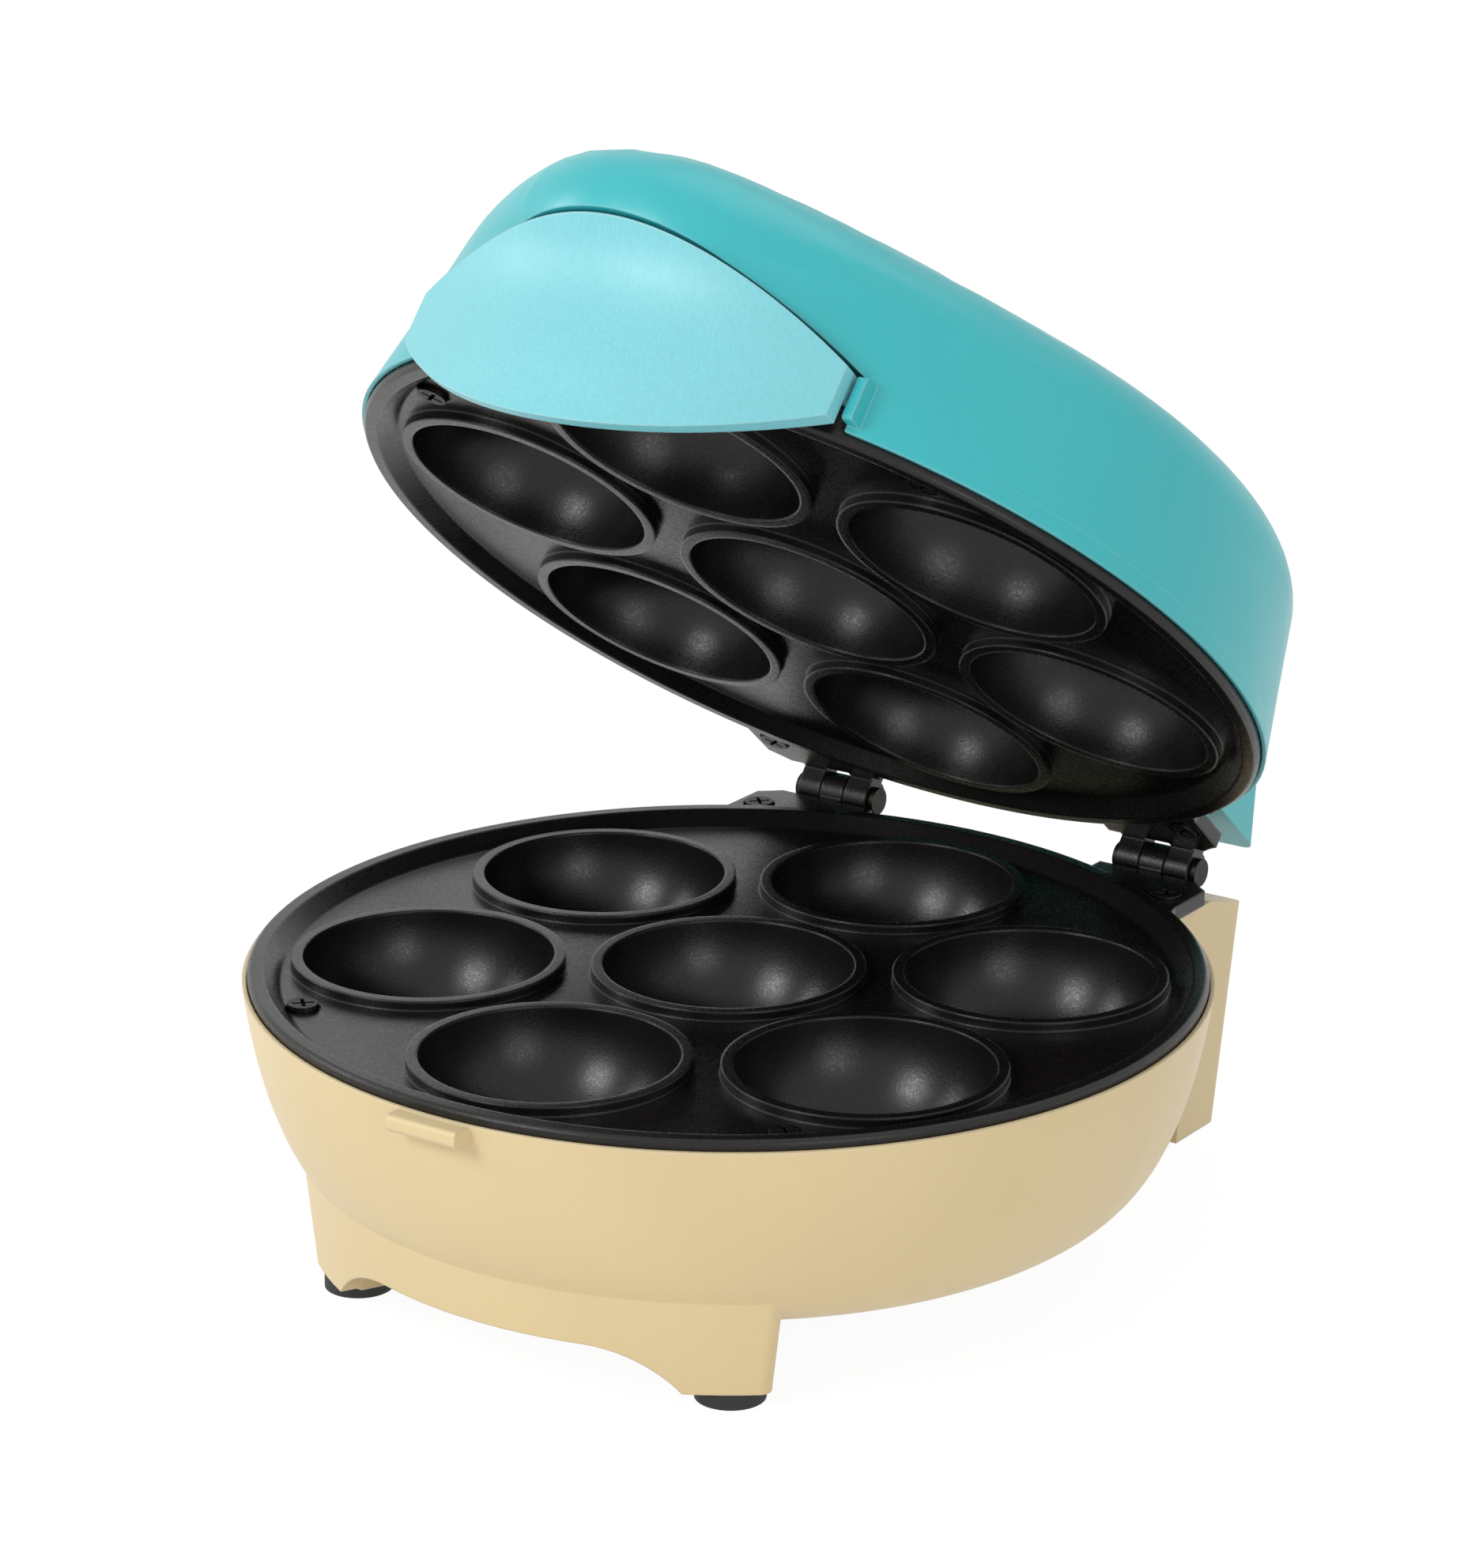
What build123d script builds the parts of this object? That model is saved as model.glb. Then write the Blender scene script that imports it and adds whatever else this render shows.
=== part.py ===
from build123d import *
import os
from math import cos, radians, sin, sqrt

os.makedirs("parts", exist_ok=True)

# Cake pop maker: a round countertop cooker. Two cast plates, each with seven half-ball
# cups, meet face to face. The upper one hangs in a lid that swings on two rear hinges.
# While it is modelled, the bowl's axis is Z, the front is -Y, the table is z = 0 and
# the lid is shut. The last section swings the lid open and centres the whole.

# ---------------------------------------------------------------- driving dimensions
split_z = 56.0            # height of the plane where the two plates meet
fit_gap = 0.3             # gap between parts that only lie beside each other
run_gap = 0.05            # radial clearance of a pin in its bore

plate_r = 90.0            # cooking plates
plate_gap = 0.5           # between the two rims when the lid is shut
plate_wall = 2.4
rim_w = 3.0
rim_slope = 3.2
rim_rise = 3.0            # rim above the sunken field
lip_rise = 2.0            # cup lips above the field
lip_w = 1.6
cup_r = 23.7
cup_wall = 2.2
cup_ring_r = 56.65
cup_count = 6             # around the middle one
edge_round = 0.6

ear_half = 52.8           # hinge ears, half width over both
ear_inner = 27.0
ear_depth, ear_t = 1.5, 3.0         # ear's face below the meeting plane, and its thickness
ear_short = 0.9           # rear edge of the ears inside the plate's radius
neck_out = 1.0            # rear edge of the ears' inner part outside it
ear_sink = 1.2            # pocket under each ear screw's head
hinge_out = 6.0           # hinge axis behind the plate's edge
hinge_drop = 1.4          # and below the meeting plane
knuckle_r = 4.0
knuckle_w = 5.2
knuckle_mid = 37.8        # middle of each hinge
knuckle_side_gap = 0.35
pin_r = 1.6
pin_head_r = 2.8
pin_head_w = 1.2

rest_angle = 41.0         # how far the lid stands open
screw_in, screw_angle = 9.25, 41.5  # front plate screws, from the plate's edge
ear_screw_x, ear_screw_in = 48.0, 9.0
boss_r = 4.0
screw_r = 1.5
screw_head_r = 2.9
screw_head_h = 1.8
screw_sink = 0.8          # pocket under each front plate screw's head

wall = 2.4                # moulded housings
seat_gap = 0.15           # between a plate's edge and the rim around it
rim_t = 0.85              # thickness of that rim
housing_gap = 2.2         # from the meeting plane to each housing's rim
bowl_shoulder_in, bowl_shoulder_h = 3.7, 21.0       # bowl's side: inside its rim's radius, and down
bowl_turn_in, bowl_turn_h = 11.0, 36.5
bowl_floor_in, bowl_depth = 29.0, 43.5
floor_hole_r = 50.0

skirt_top_in, skirt_foot_in = 8.4, 11.4
skirt_angle_top, skirt_angle_foot = 42.6, 40.4      # where the skirt ends, from the front
leg_angle = 28.0          # where each leg starts
leg_depth = 13.6
leg_clear = 3.0           # table to the underside of the front legs
leg_round = 2.5
arch_clear = 11.2         # table to the skirt's underside between the legs
arch_flat = 22.0          # where the arch starts to curve down

pad_ring_in, pad_angle, pad_r = 18.0, 35.0, 6.5
pad_stem_r = 2.4
rear_pad_r = 5.0
rear_leg_clear = 0.9

tab_half, tab_out = 7.6, 3.8
tab_drop, tab_h = 2.4, 3.3

rear_half_top, rear_half_foot = 52.3, 49.3
rear_out_top, rear_out_foot = 15.6, 12.4            # rear wall behind the plate's edge
rear_slope_in, rear_slope_drop = 1.0, 4.3           # its top slopes down from here to the wall
rear_round = 3.0
rear_front_in = 30.0      # how far it reaches forward under the bowl's side
rear_floor_z = 13.6       # underside of the rear housing between its legs
rear_leg_inner = 35.0
rear_leg_in = 4.0
rear_screw_x, rear_screw_z = 25.0, 30.0

lid_h = 40.3              # meeting plane to the lid's top
lid_lean = 7.0            # how far its side leans in, before its shoulder is rounded
lid_shoulder = 12.7
nose_r = 27.2             # the front of the lid's top swells to a round nose
nose_out = 27.0
flank_foot = 4.0          # length of the nose's flanks at the rim
rear_cover_bottom = 8.4   # lid rear cover's lower edge above the meeting plane
rear_cover_h = 22.5
rear_cover_out, rear_cover_out_top = 13.4, 7.0
rear_cover_half, rear_cover_half_top = 52.5, 48.5

recess_in = 6.4
recess_gap = 0.7
handle_half = 45.3
handle_end_in = 6.5
handle_wall = 2.2
handle_end_low, handle_end_high = 2.0, 11.7
handle_low, handle_high = 14.2, 23.2
handle_out = ((-16.0, 9.2), (-6.0, 8.4), (5.0, 8.0), (12.0, 8.3), (18.0, 10.1), (24.5, 14.8))
latch_in, latch_h = 12.5, 9.2       # handle's pivot, inside the rim's radius and above the plane
latch_pin_r = 1.1
latch_lug_r, latch_lug_in, latch_lug_t = 2.6, 3.1, 2.8
latch_boss_w, latch_boss_wall = 2.0, 1.5
latch_boss_low, latch_boss_high = 3.4, 11.8
latch_swing = 9.5
hook_half, hook_gap = 8.0, 0.6
hook_top_drop, hook_h = 4.2, 3.0

element_r = 3.2           # sheathed heating elements
element_gap = 0.3
element_open = 40.0       # degrees left open at the rear
element_leg, element_bend = 11.0, 5.0
element_pin_r, element_pin_l = 1.2, 7.0
clamp_ring_r = 36.6
clamp_w, clamp_l, clamp_t = 7.0, 15.0, 1.2
clamp_boss_r = 3.1
shield_r, shield_t = 69.0, 0.8
shield_drop = 30.5        # meeting plane to each heat shield
shield_lip = 1.4
shield_post_r, shield_post_ring = 3.6, 60.0
small_screw_r, small_head_r, small_head_h = 1.2, 2.3, 1.4

lamp_x, lamp_y, lamp_r = 9.0, -44.0, 3.2
gland_r, gland_bore_r, gland_flange_r = 6.0, 3.6, 8.0
gland_drop = 33.0
wire_r = 1.1
wire_hole_r, wire_hole_z = 6.0, 29.0
lid_hole_r, lid_hole_h = 5.0, 19.5
wire_depth = 28.9         # wires run between the cups and the heat shields
wire_bend = 1.5
block_wire_x, lid_wire_x = 8.0, 2.4
lamp_rise, lamp_holder_h = 0.9, 2.9
rear_seat_in, cover_seat_in = 13.0, 10.0            # seats of the screws that hold the rear pieces
cover_screw_h = 16.0
switch_in, switch_angle = 14.0, 150.0
switch_r, switch_h, switch_flange_t, switch_screw_off = 7.0, 5.5, 1.0, 9.5
blade_off, blade_l = 3.5, 6.0
block_size = (26.0, 9.0, 7.0)       # terminal block, flat against the rear wall
block_drop = 17.0
connector_size = (18.0, 13.0, 5.0)
peg_r, peg_l = 1.2, 1.5

# ---------------------------------------------------------------- worked out from them
plate_face = plate_gap / 2
field_depth = plate_face + rim_rise
lip_depth = field_depth - lip_rise
plate_back = field_depth + plate_wall
ear_back = ear_depth + ear_t
ear_seat = ear_depth + ear_sink
ear_reach = plate_r - ear_short
ear_neck = plate_r + neck_out
hinge_y = plate_r + hinge_out
hinge_z = split_z - hinge_drop
cup_outer_r = cup_r + cup_wall
lip_r = cup_r + lip_w
ring_r = cup_ring_r / 2
element_depth = lip_depth + sqrt((cup_outer_r + element_r + element_gap) ** 2 - ring_r ** 2)
clamp_depth = element_depth + element_r + 0.1
upper_knuckle_x = knuckle_w + knuckle_side_gap
hinge_half_w = 1.5 * knuckle_w + knuckle_side_gap
ear_screw_y = plate_r - ear_screw_in
housing_r = plate_r + seat_gap + rim_t
tab_reach = housing_r + tab_out
skirt_r_top, skirt_r_foot = housing_r - skirt_top_in, housing_r - skirt_foot_in
rear_y_top, rear_y_foot = plate_r + rear_out_top, plate_r + rear_out_foot
rear_front_y, rear_leg_y = plate_r - rear_front_in, plate_r - rear_leg_in
rear_seat_y, cover_seat_y = plate_r - rear_seat_in, plate_r - cover_seat_in
rear_cover_y, rear_cover_y_top = plate_r + rear_cover_out, plate_r + rear_cover_out_top
lid_top_r, nose_reach = housing_r - lid_lean, housing_r + nose_out
recess_r, handle_end_y = housing_r - recess_in, housing_r - handle_end_in
recess_half, latch_lug_x = handle_half + recess_gap, handle_half - latch_lug_in
latch_y = housing_r - latch_in
hook_tip_r = tab_reach + hook_gap
switch_ring = plate_r - switch_in
cup_angles = [360 / cup_count * k for k in range(cup_count)]
gap_angles = [30 + 120 * k for k in range(3)]
shield_angles = [0, 120, 240]


def height(way, depth):
    """Height of a level that is `depth` from the meeting plane, up (1) or down (-1)."""
    return split_z + way * depth


def around(radius, angle, z):
    """A point at `angle` from the front, counted towards +X."""
    return (radius * sin(radians(angle)), -radius * cos(radians(angle)), z)


def section(points):
    """A face in the XZ plane through (radius, height) points, to be revolved."""
    with BuildSketch(Plane.XZ) as face:
        with BuildLine():
            Polyline(*points, close=True)
        make_face()
    return face.sketch


def block(x_range, y_range, z_range, mode=Mode.ADD):
    """A box between the given limits, in the part being built."""
    size = [high - low for low, high in (x_range, y_range, z_range)]
    middle = [(high + low) / 2 for low, high in (x_range, y_range, z_range)]
    with Locations(tuple(middle)):
        Box(*size, mode=mode)


def column(spots, radius, z_range, mode=Mode.ADD):
    """Upright cylinders at the spots, between two heights."""
    low, high = sorted(z_range)
    with Locations(*[(x, y, (low + high) / 2) for x, y, *_ in spots]):
        Cylinder(radius, high - low, mode=mode)


def barrel(x_ranges, y, z, radius, mode=Mode.ADD):
    """Cylinders along X, one for each range of x."""
    for low, high in x_ranges:
        with Locations(Plane(origin=((low + high) / 2, y, z), z_dir=(1, 0, 0))):
            Cylinder(radius, high - low, mode=mode)


def rod(spots, y_range, radius, mode=Mode.ADD):
    """Cylinders along Y at (x, z) spots."""
    low, high = y_range
    for x, z in spots:
        with Locations(Plane(origin=(x, (low + high) / 2, z), z_dir=(0, 1, 0))):
            Cylinder(radius, high - low, mode=mode)


def drill(spots, y_range, radius):
    rod(spots, y_range, radius, Mode.SUBTRACT)


def both_sides(x, y):
    return [(x, y), (-x, y)]


lamp_spots = [(lamp_x, lamp_y), (-lamp_x, lamp_y)]
clamp_spots = [around(clamp_ring_r, angle, 0) for angle in gap_angles]
latch_pin_ranges = [(latch_lug_x - 0.3, recess_half + latch_boss_w - 0.4),
                    (0.4 - recess_half - latch_boss_w, 0.3 - latch_lug_x)]
front_screw_spots = [around(plate_r - screw_in, side * screw_angle, 0)[:2] for side in (1, -1)]
ear_screw_spots = both_sides(ear_screw_x, ear_screw_y)
plate_screws = ((front_screw_spots, plate_face, field_depth + screw_sink, plate_back),
                (ear_screw_spots, ear_depth, ear_seat, ear_back))
cup_spots = [(0, 0)] + [around(cup_ring_r, angle, 0)[:2] for angle in cup_angles]


# ---------------------------------------------------------------- cooking plates
def plate_section(way):
    """Half section of a plate's disc: rim, slope, sunken field, skirt."""
    face, field, back = (height(way, depth) for depth in (plate_face, field_depth, plate_back))
    inner = plate_r - rim_w
    return section([(0, back), (plate_r, back), (plate_r, face + way * edge_round),
                    (plate_r - edge_round, face), (inner, face), (inner - rim_slope, field),
                    (0, field)])


def ear_outline(z):
    """Both hinge ears and the neck behind them, seen from above."""
    with BuildSketch(Plane.XY.offset(z)) as outline:
        for side in (1, -1):
            with BuildLine():
                Polyline((side * (ear_half + 5), plate_r - 35), (side * (ear_half + 2), plate_r - 22),
                         (side * ear_half, plate_r - 14), (side * ear_half, ear_reach - 1.5),
                         (side * (ear_half - 2), ear_reach), (side * (ear_half - 4), ear_neck),
                         (side * ear_inner, ear_neck), (side * ear_inner, plate_r - 35), close=True)
            make_face()
    return outline.sketch


def cooking_plate(way):
    """Adds the whole casting, without its knuckles, to the part being built."""
    revolve(plate_section(way), axis=Axis.Z)
    with BuildPart(mode=Mode.PRIVATE) as ears:
        extrude(ear_outline(min(height(way, ear_depth), height(way, ear_back))), amount=ear_t)
        column([(0, 0)], plate_r - edge_round, (0, 2 * split_z), Mode.SUBTRACT)
    add(ears.part)
    field_cutter = height(way, plate_face - 1)
    column([(0, 0)], plate_r - rim_w - rim_slope, (field_cutter, height(way, field_depth)), Mode.SUBTRACT)
    column(cup_spots, lip_r, (height(way, lip_depth), height(way, field_depth + plate_wall / 2)))
    with Locations(*[(x, y, height(way, lip_depth)) for x, y in cup_spots]):
        Sphere(cup_outer_r)
    column([(0, 0)], plate_r - rim_w - rim_slope,
           (height(way, lip_depth), height(way, -cup_outer_r)), Mode.SUBTRACT)
    with Locations(*[(x, y, height(way, lip_depth)) for x, y in cup_spots]):
        Sphere(cup_r, mode=Mode.SUBTRACT)
    column(clamp_spots, clamp_boss_r, (height(way, plate_back - 1), height(way, clamp_depth)))
    column(clamp_spots, small_screw_r + run_gap, (height(way, plate_back + 1), height(way, clamp_depth)),
           Mode.SUBTRACT)
    for spots, face, seat, back in plate_screws:
        column(spots, screw_r + 0.2, (height(way, face), height(way, back + 1)), Mode.SUBTRACT)
        column(spots, screw_head_r + 0.4, (height(way, face - 1), height(way, seat)), Mode.SUBTRACT)


def knuckle_ranges(mid, offsets):
    """x ranges of knuckles at the given offsets from the middle of a hinge."""
    return [(mid + off - knuckle_w / 2, mid + off + knuckle_w / 2) for off in offsets]


def knuckles(way, offsets):
    """Adds knuckles and their arms, and bores them for the pins."""
    for mid in (knuckle_mid, -knuckle_mid):
        ranges = knuckle_ranges(mid, offsets)
        barrel(ranges, hinge_y, hinge_z, knuckle_r)
        for x_range in ranges:
            block(x_range, (ear_neck - 1, hinge_y), sorted((height(way, ear_depth), height(way, ear_back))))
            block(x_range, (hinge_y - knuckle_r, hinge_y), sorted((hinge_z, height(way, ear_back))))
        barrel(ranges, hinge_y, hinge_z, pin_r + run_gap, Mode.SUBTRACT)


def switch_screw_spots(angle):
    """Where the two screws of a disc switch go."""
    middle = Vector(*around(switch_ring, angle, 0))
    aside = Vector(*around(switch_screw_off, angle + 90, 0))
    return [tuple(middle + aside), tuple(middle - aside)]


with BuildPart() as lower_plate:
    cooking_plate(-1)
    knuckles(-1, [0])
    for angle in (switch_angle, -switch_angle):
        column(switch_screw_spots(angle), small_screw_r + run_gap,
               (height(-1, plate_back), height(-1, plate_back - 1.8)), Mode.SUBTRACT)
lower_plate.part.label = "lower_plate"

with BuildPart() as upper_plate:
    cooking_plate(1)
    knuckles(1, [-upper_knuckle_x, upper_knuckle_x])
upper_plate.part.label = "upper_plate"


# ---------------------------------------------------------------- base housing
def bowl_section(inset, floor, rim):
    """Half section of the bowl, its wall moved inwards by `inset`, on the front plane."""
    with BuildSketch(Plane((0, 0, 0), x_dir=(0, -1, 0), z_dir=(-1, 0, 0))) as face:
        with BuildLine():
            side = Spline((housing_r - inset, rim),
                          (housing_r - bowl_shoulder_in - inset, height(-1, bowl_shoulder_h)),
                          (housing_r - bowl_turn_in - 0.9 * inset, height(-1, bowl_turn_h) + 0.5 * inset),
                          (housing_r - bowl_floor_in - 0.3 * inset, floor),
                          tangents=[(-0.12, -1), (-1, -0.06)])
            Polyline(side @ 1, (0, floor), (0, rim), side @ 0)
        make_face()
    return face.sketch


def sector(outer_r, inner_r, angle_range, z_range):
    """A private solid: part of a ring, between two angles from the front."""
    low, high = z_range
    mid = sum(angle_range) / 2
    with BuildPart(mode=Mode.PRIVATE) as piece:
        with BuildSketch(Plane.XY.offset(low)):
            with BuildLine():
                near, far = [Vector(*around(1, angle, 0)) for angle in angle_range]
                middle = Vector(*around(1, mid, 0))
                outer = ThreePointArc(near * outer_r, middle * outer_r, far * outer_r)
                inner = ThreePointArc(near * inner_r, middle * inner_r, far * inner_r)
                Line(outer @ 0, inner @ 0)
                Line(outer @ 1, inner @ 1)
            make_face()
        extrude(amount=high - low)
    return piece.part


bowl_rim = height(-1, housing_gap)
bowl_floor = height(-1, bowl_depth)
ledge_z = height(-1, plate_back + 0.1)
skirt_top = height(-1, bowl_shoulder_h)
pad_spots = [around(housing_r - pad_ring_in, side * pad_angle, 0) for side in (1, -1)]

with BuildPart() as bowl_outer:
    revolve(bowl_section(0, bowl_floor, bowl_rim), axis=Axis.Z)

with BuildPart() as bowl_hollow:
    revolve(bowl_section(wall, bowl_floor + wall, ledge_z - 0.4), axis=Axis.Z)


def fan(angle, z):
    """A wide triangle that opens to the front, half as wide as the angle says."""
    with BuildSketch(Plane.XY.offset(z)) as outline:
        with BuildLine():
            Polyline((0, 0), around(2 * housing_r, angle, 0)[:2],
                     around(2 * housing_r, -angle, 0)[:2], close=True)
        make_face()
    return outline.sketch


with BuildPart() as skirt:
    with BuildSketch(Plane.XY.offset(leg_clear)):
        Circle(skirt_r_foot)
    with BuildSketch(Plane.XY.offset(skirt_top)):
        Circle(skirt_r_top)
    loft()
    with BuildPart(mode=Mode.PRIVATE) as skirt_ends:
        loft([fan(skirt_angle_foot, leg_clear - 1), fan(skirt_angle_top, skirt_top + 1)])
    add(skirt_ends.part, mode=Mode.INTERSECT)
    corners = skirt.edges().filter_by(lambda edge: edge.length < skirt_top).sort_by(Axis.Y)
    fillet(corners.filter_by(lambda edge: abs(edge.center().X) > arch_flat), radius=leg_round)
    column([(0, 0)], skirt_r_foot - leg_depth, (0, split_z), Mode.SUBTRACT)
    between_legs = sector(skirt_r_foot - wall, 1, (-leg_angle, leg_angle), (0, split_z))
    add(between_legs, mode=Mode.SUBTRACT)
    leg_foot = leg_angle + 0.8
    arch_end = skirt_r_foot * sin(radians(leg_foot))
    with BuildSketch(Plane.XZ.offset(skirt_r_foot - leg_depth + 1)):
        with BuildLine():
            for side in (1, -1):
                curve = TangentArc((side * arch_flat, arch_clear), (side * arch_end, leg_clear - 0.01),
                                   tangent=(side, 0))
                Line(curve @ 1, (side * arch_end, -5))
            Line((-arch_flat, arch_clear), (arch_flat, arch_clear))
            Line((-arch_end, -5), (arch_end, -5))
        make_face()
    arch = extrude(amount=leg_depth + 10, mode=Mode.PRIVATE)
    legs = sector(2 * plate_r, 1, (leg_foot, 90), (-10, split_z)) + sector(
        2 * plate_r, 1, (-90, -leg_foot), (-10, split_z))
    add(arch - legs, mode=Mode.SUBTRACT)
    for side in (1, -1):
        angles = sorted((side * (leg_angle + 2), side * (skirt_angle_foot - 2)))
        pocket = sector(skirt_r_foot - wall, skirt_r_foot - leg_depth + wall, angles,
                        (leg_clear + wall, split_z))
        add(pocket, mode=Mode.SUBTRACT)
    column(pad_spots, pad_stem_r + run_gap, (0, leg_clear + 2 * wall), Mode.SUBTRACT)

shield_spots = [around(shield_post_ring, angle, 0) for angle in shield_angles]
cover_screw_spots = [around(floor_hole_r + 4.5, 45 + 90 * k, 0) for k in range(4)]

with BuildPart() as front_bosses:
    column(front_screw_spots, boss_r, (bowl_floor, ledge_z))
    add(bowl_outer.part, mode=Mode.INTERSECT)

with BuildPart() as rear_screw_seats:
    rod(both_sides(rear_screw_x, rear_screw_z), (rear_seat_y, rear_y_top), boss_r + 0.5)
    add(bowl_outer.part, mode=Mode.INTERSECT)

with BuildPart() as base_housing:
    add(bowl_outer.part)
    add(skirt.part)
    block((-tab_half, tab_half), (-tab_reach, 4 - housing_r),
          (height(-1, tab_drop + tab_h), height(-1, tab_drop)))
    tab_edges = base_housing.edges().filter_by(Axis.X).group_by(Axis.Y)[0]
    chamfer(tab_edges.sort_by(Axis.Z)[0], length=1.0)
    fillet(base_housing.edges().filter_by(Axis.X).group_by(Axis.Y)[0].sort_by(Axis.Z)[-1], radius=0.8)
    add(bowl_hollow.part, mode=Mode.SUBTRACT)
    column([(0, 0)], plate_r + seat_gap, (ledge_z, split_z), Mode.SUBTRACT)
    column([(0, 0)], housing_r - 2 * wall, (ledge_z - 1, ledge_z + 0.1), Mode.SUBTRACT)
    add(front_bosses.part)
    column(shield_spots, shield_post_r, (bowl_floor + wall / 2, height(-1, shield_drop + shield_t)))
    column([(0, 0)], floor_hole_r, (0, bowl_floor + 2 * wall), Mode.SUBTRACT)
    column(cover_screw_spots, boss_r, (bowl_floor + wall / 2, bowl_floor + 3 * wall))
    column(cover_screw_spots, small_screw_r + run_gap, (bowl_floor, bowl_floor + 3 * wall), Mode.SUBTRACT)
    column(shield_spots, small_screw_r + run_gap,
           (height(-1, shield_drop + 8), height(-1, shield_drop)), Mode.SUBTRACT)
    column(front_screw_spots, screw_r + run_gap, (ledge_z - 13, ledge_z), Mode.SUBTRACT)
    for side in (1, -1):
        x_range = sorted((side * (ear_inner - fit_gap), side * (ear_half + 6)))
        block(x_range, (rear_front_y, ear_neck + 5), (height(-1, ear_back + fit_gap), split_z), Mode.SUBTRACT)
    add(rear_screw_seats.part)
    drill([(0, wire_hole_z)], (rear_front_y, rear_y_top), wire_hole_r)
    drill(both_sides(rear_screw_x, rear_screw_z), (rear_front_y, rear_y_top), screw_r + 0.2)
base_housing.part.label = "base_housing"


# ---------------------------------------------------------------- rear housing and stand
rear_top = height(-1, ear_back + fit_gap)


def box_outline(half, y_back, z, inset=0):
    """Rounded outline of a rear box at one height."""
    low, high = rear_front_y + inset, y_back - inset
    with BuildSketch(Plane.XY.offset(z)) as outline:
        with Locations((0, (low + high) / 2)):
            RectangleRounded(2 * (half - inset), high - low, rear_round - inset / 2)
    return outline.sketch


def between(z, levels, values):
    """Value at a height, in a straight line between two levels."""
    share = (z - levels[0]) / (levels[1] - levels[0])
    return values[0] + share * (values[1] - values[0])


def rear_y(z):
    """Outside of the base's rear wall at a height."""
    return between(z, (rear_leg_clear, rear_top), (rear_y_foot, rear_y_top))


def rear_half(z):
    return between(z, (rear_leg_clear, rear_top), (rear_half_foot, rear_half_top))


rear_lean = Vector(0, rear_top - rear_leg_clear, rear_y_foot - rear_y_top).normalized()
rear_pad_spots = both_sides((rear_leg_inner + rear_half_foot) / 2, (rear_leg_y + rear_y_foot) / 2)
gland_z = height(-1, gland_drop)
block_z = height(-1, block_drop)
block_plane = Plane(origin=(0, rear_y(block_z) - wall, block_z), x_dir=(1, 0, 0), z_dir=rear_lean)
gland_plane = Plane(origin=(0, rear_y(gland_z), gland_z), x_dir=(1, 0, 0), z_dir=rear_lean)


def peg_spots(size):
    return both_sides(size[0] / 2 - 2 * peg_r, 0)


def peg_holes(plane, size):
    """Blind holes that take the pegs of a block held flat against a wall."""
    with Locations(plane):
        with Locations(*peg_spots(size)):
            Cylinder(peg_r + run_gap, peg_l + 0.1, align=(Align.CENTER, Align.CENTER, Align.MIN),
                     mode=Mode.SUBTRACT)


def rear_slope(drop):
    """A private wedge above the sloping top of the rear wall, lowered by `drop`."""
    start, low = plate_r + rear_slope_in, rear_top - rear_slope_drop
    with BuildPart(mode=Mode.PRIVATE) as wedge:
        with BuildSketch(Plane.YZ):
            with BuildLine():
                Polyline((start, rear_top - drop), (rear_y_top, low - drop), (rear_y_top + 5, low - drop),
                         (rear_y_top + 5, split_z), (start, split_z), close=True)
            make_face()
        extrude(amount=2 * rear_half_top, both=True)
    return wedge.part


with BuildPart() as rear_outer:
    loft([box_outline(rear_half_foot, rear_y_foot, rear_leg_clear),
          box_outline(rear_half_top, rear_y_top, rear_top)])
    add(rear_slope(0), mode=Mode.SUBTRACT)

with BuildPart() as rear_hollow:
    hollow_low, hollow_high = rear_floor_z + wall, rear_top - wall
    loft([box_outline(rear_half(hollow_low), rear_y(hollow_low), hollow_low, wall),
          box_outline(rear_half(hollow_high), rear_y(hollow_high), hollow_high, wall)])
    add(rear_slope(wall), mode=Mode.SUBTRACT)

with BuildPart() as rear_posts:
    column(ear_screw_spots, boss_r, (rear_floor_z + wall / 2, rear_top - wall / 2))
    rod(both_sides(rear_screw_x, rear_screw_z), (rear_seat_y, rear_y_top), boss_r)
    add(rear_outer.part, mode=Mode.INTERSECT)

with BuildPart() as rear_housing:
    add(rear_outer.part)
    add(rear_hollow.part, mode=Mode.SUBTRACT)
    add(rear_posts.part)
    column(ear_screw_spots, boss_r - 0.4, (rear_top - 1, height(-1, ear_back + 0.02)))
    add(bowl_outer.part, mode=Mode.SUBTRACT)
    under = (0, rear_floor_z)
    block((-rear_leg_inner, rear_leg_inner), (rear_front_y - 1, rear_y_top + 1), under, Mode.SUBTRACT)
    block((-rear_half_top - 1, rear_half_top + 1), (rear_front_y - 1, rear_leg_y), under, Mode.SUBTRACT)
    pocket_r = rear_pad_r - 0.6
    column(rear_pad_spots, pocket_r, (rear_leg_clear + wall, rear_floor_z + wall / 2), Mode.SUBTRACT)
    column(rear_pad_spots, pad_stem_r + run_gap, (0, rear_leg_clear + 2 * wall), Mode.SUBTRACT)
    column(ear_screw_spots, screw_r + run_gap, (ledge_z - 14, split_z), Mode.SUBTRACT)
    drill(both_sides(rear_screw_x, rear_screw_z), (rear_seat_y, rear_y_foot - wall), screw_r + run_gap)
    with Locations(gland_plane):
        Cylinder(gland_r + run_gap, 6 * wall, mode=Mode.SUBTRACT)
    peg_holes(block_plane, block_size)
rear_housing.part.label = "rear_housing"

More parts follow.
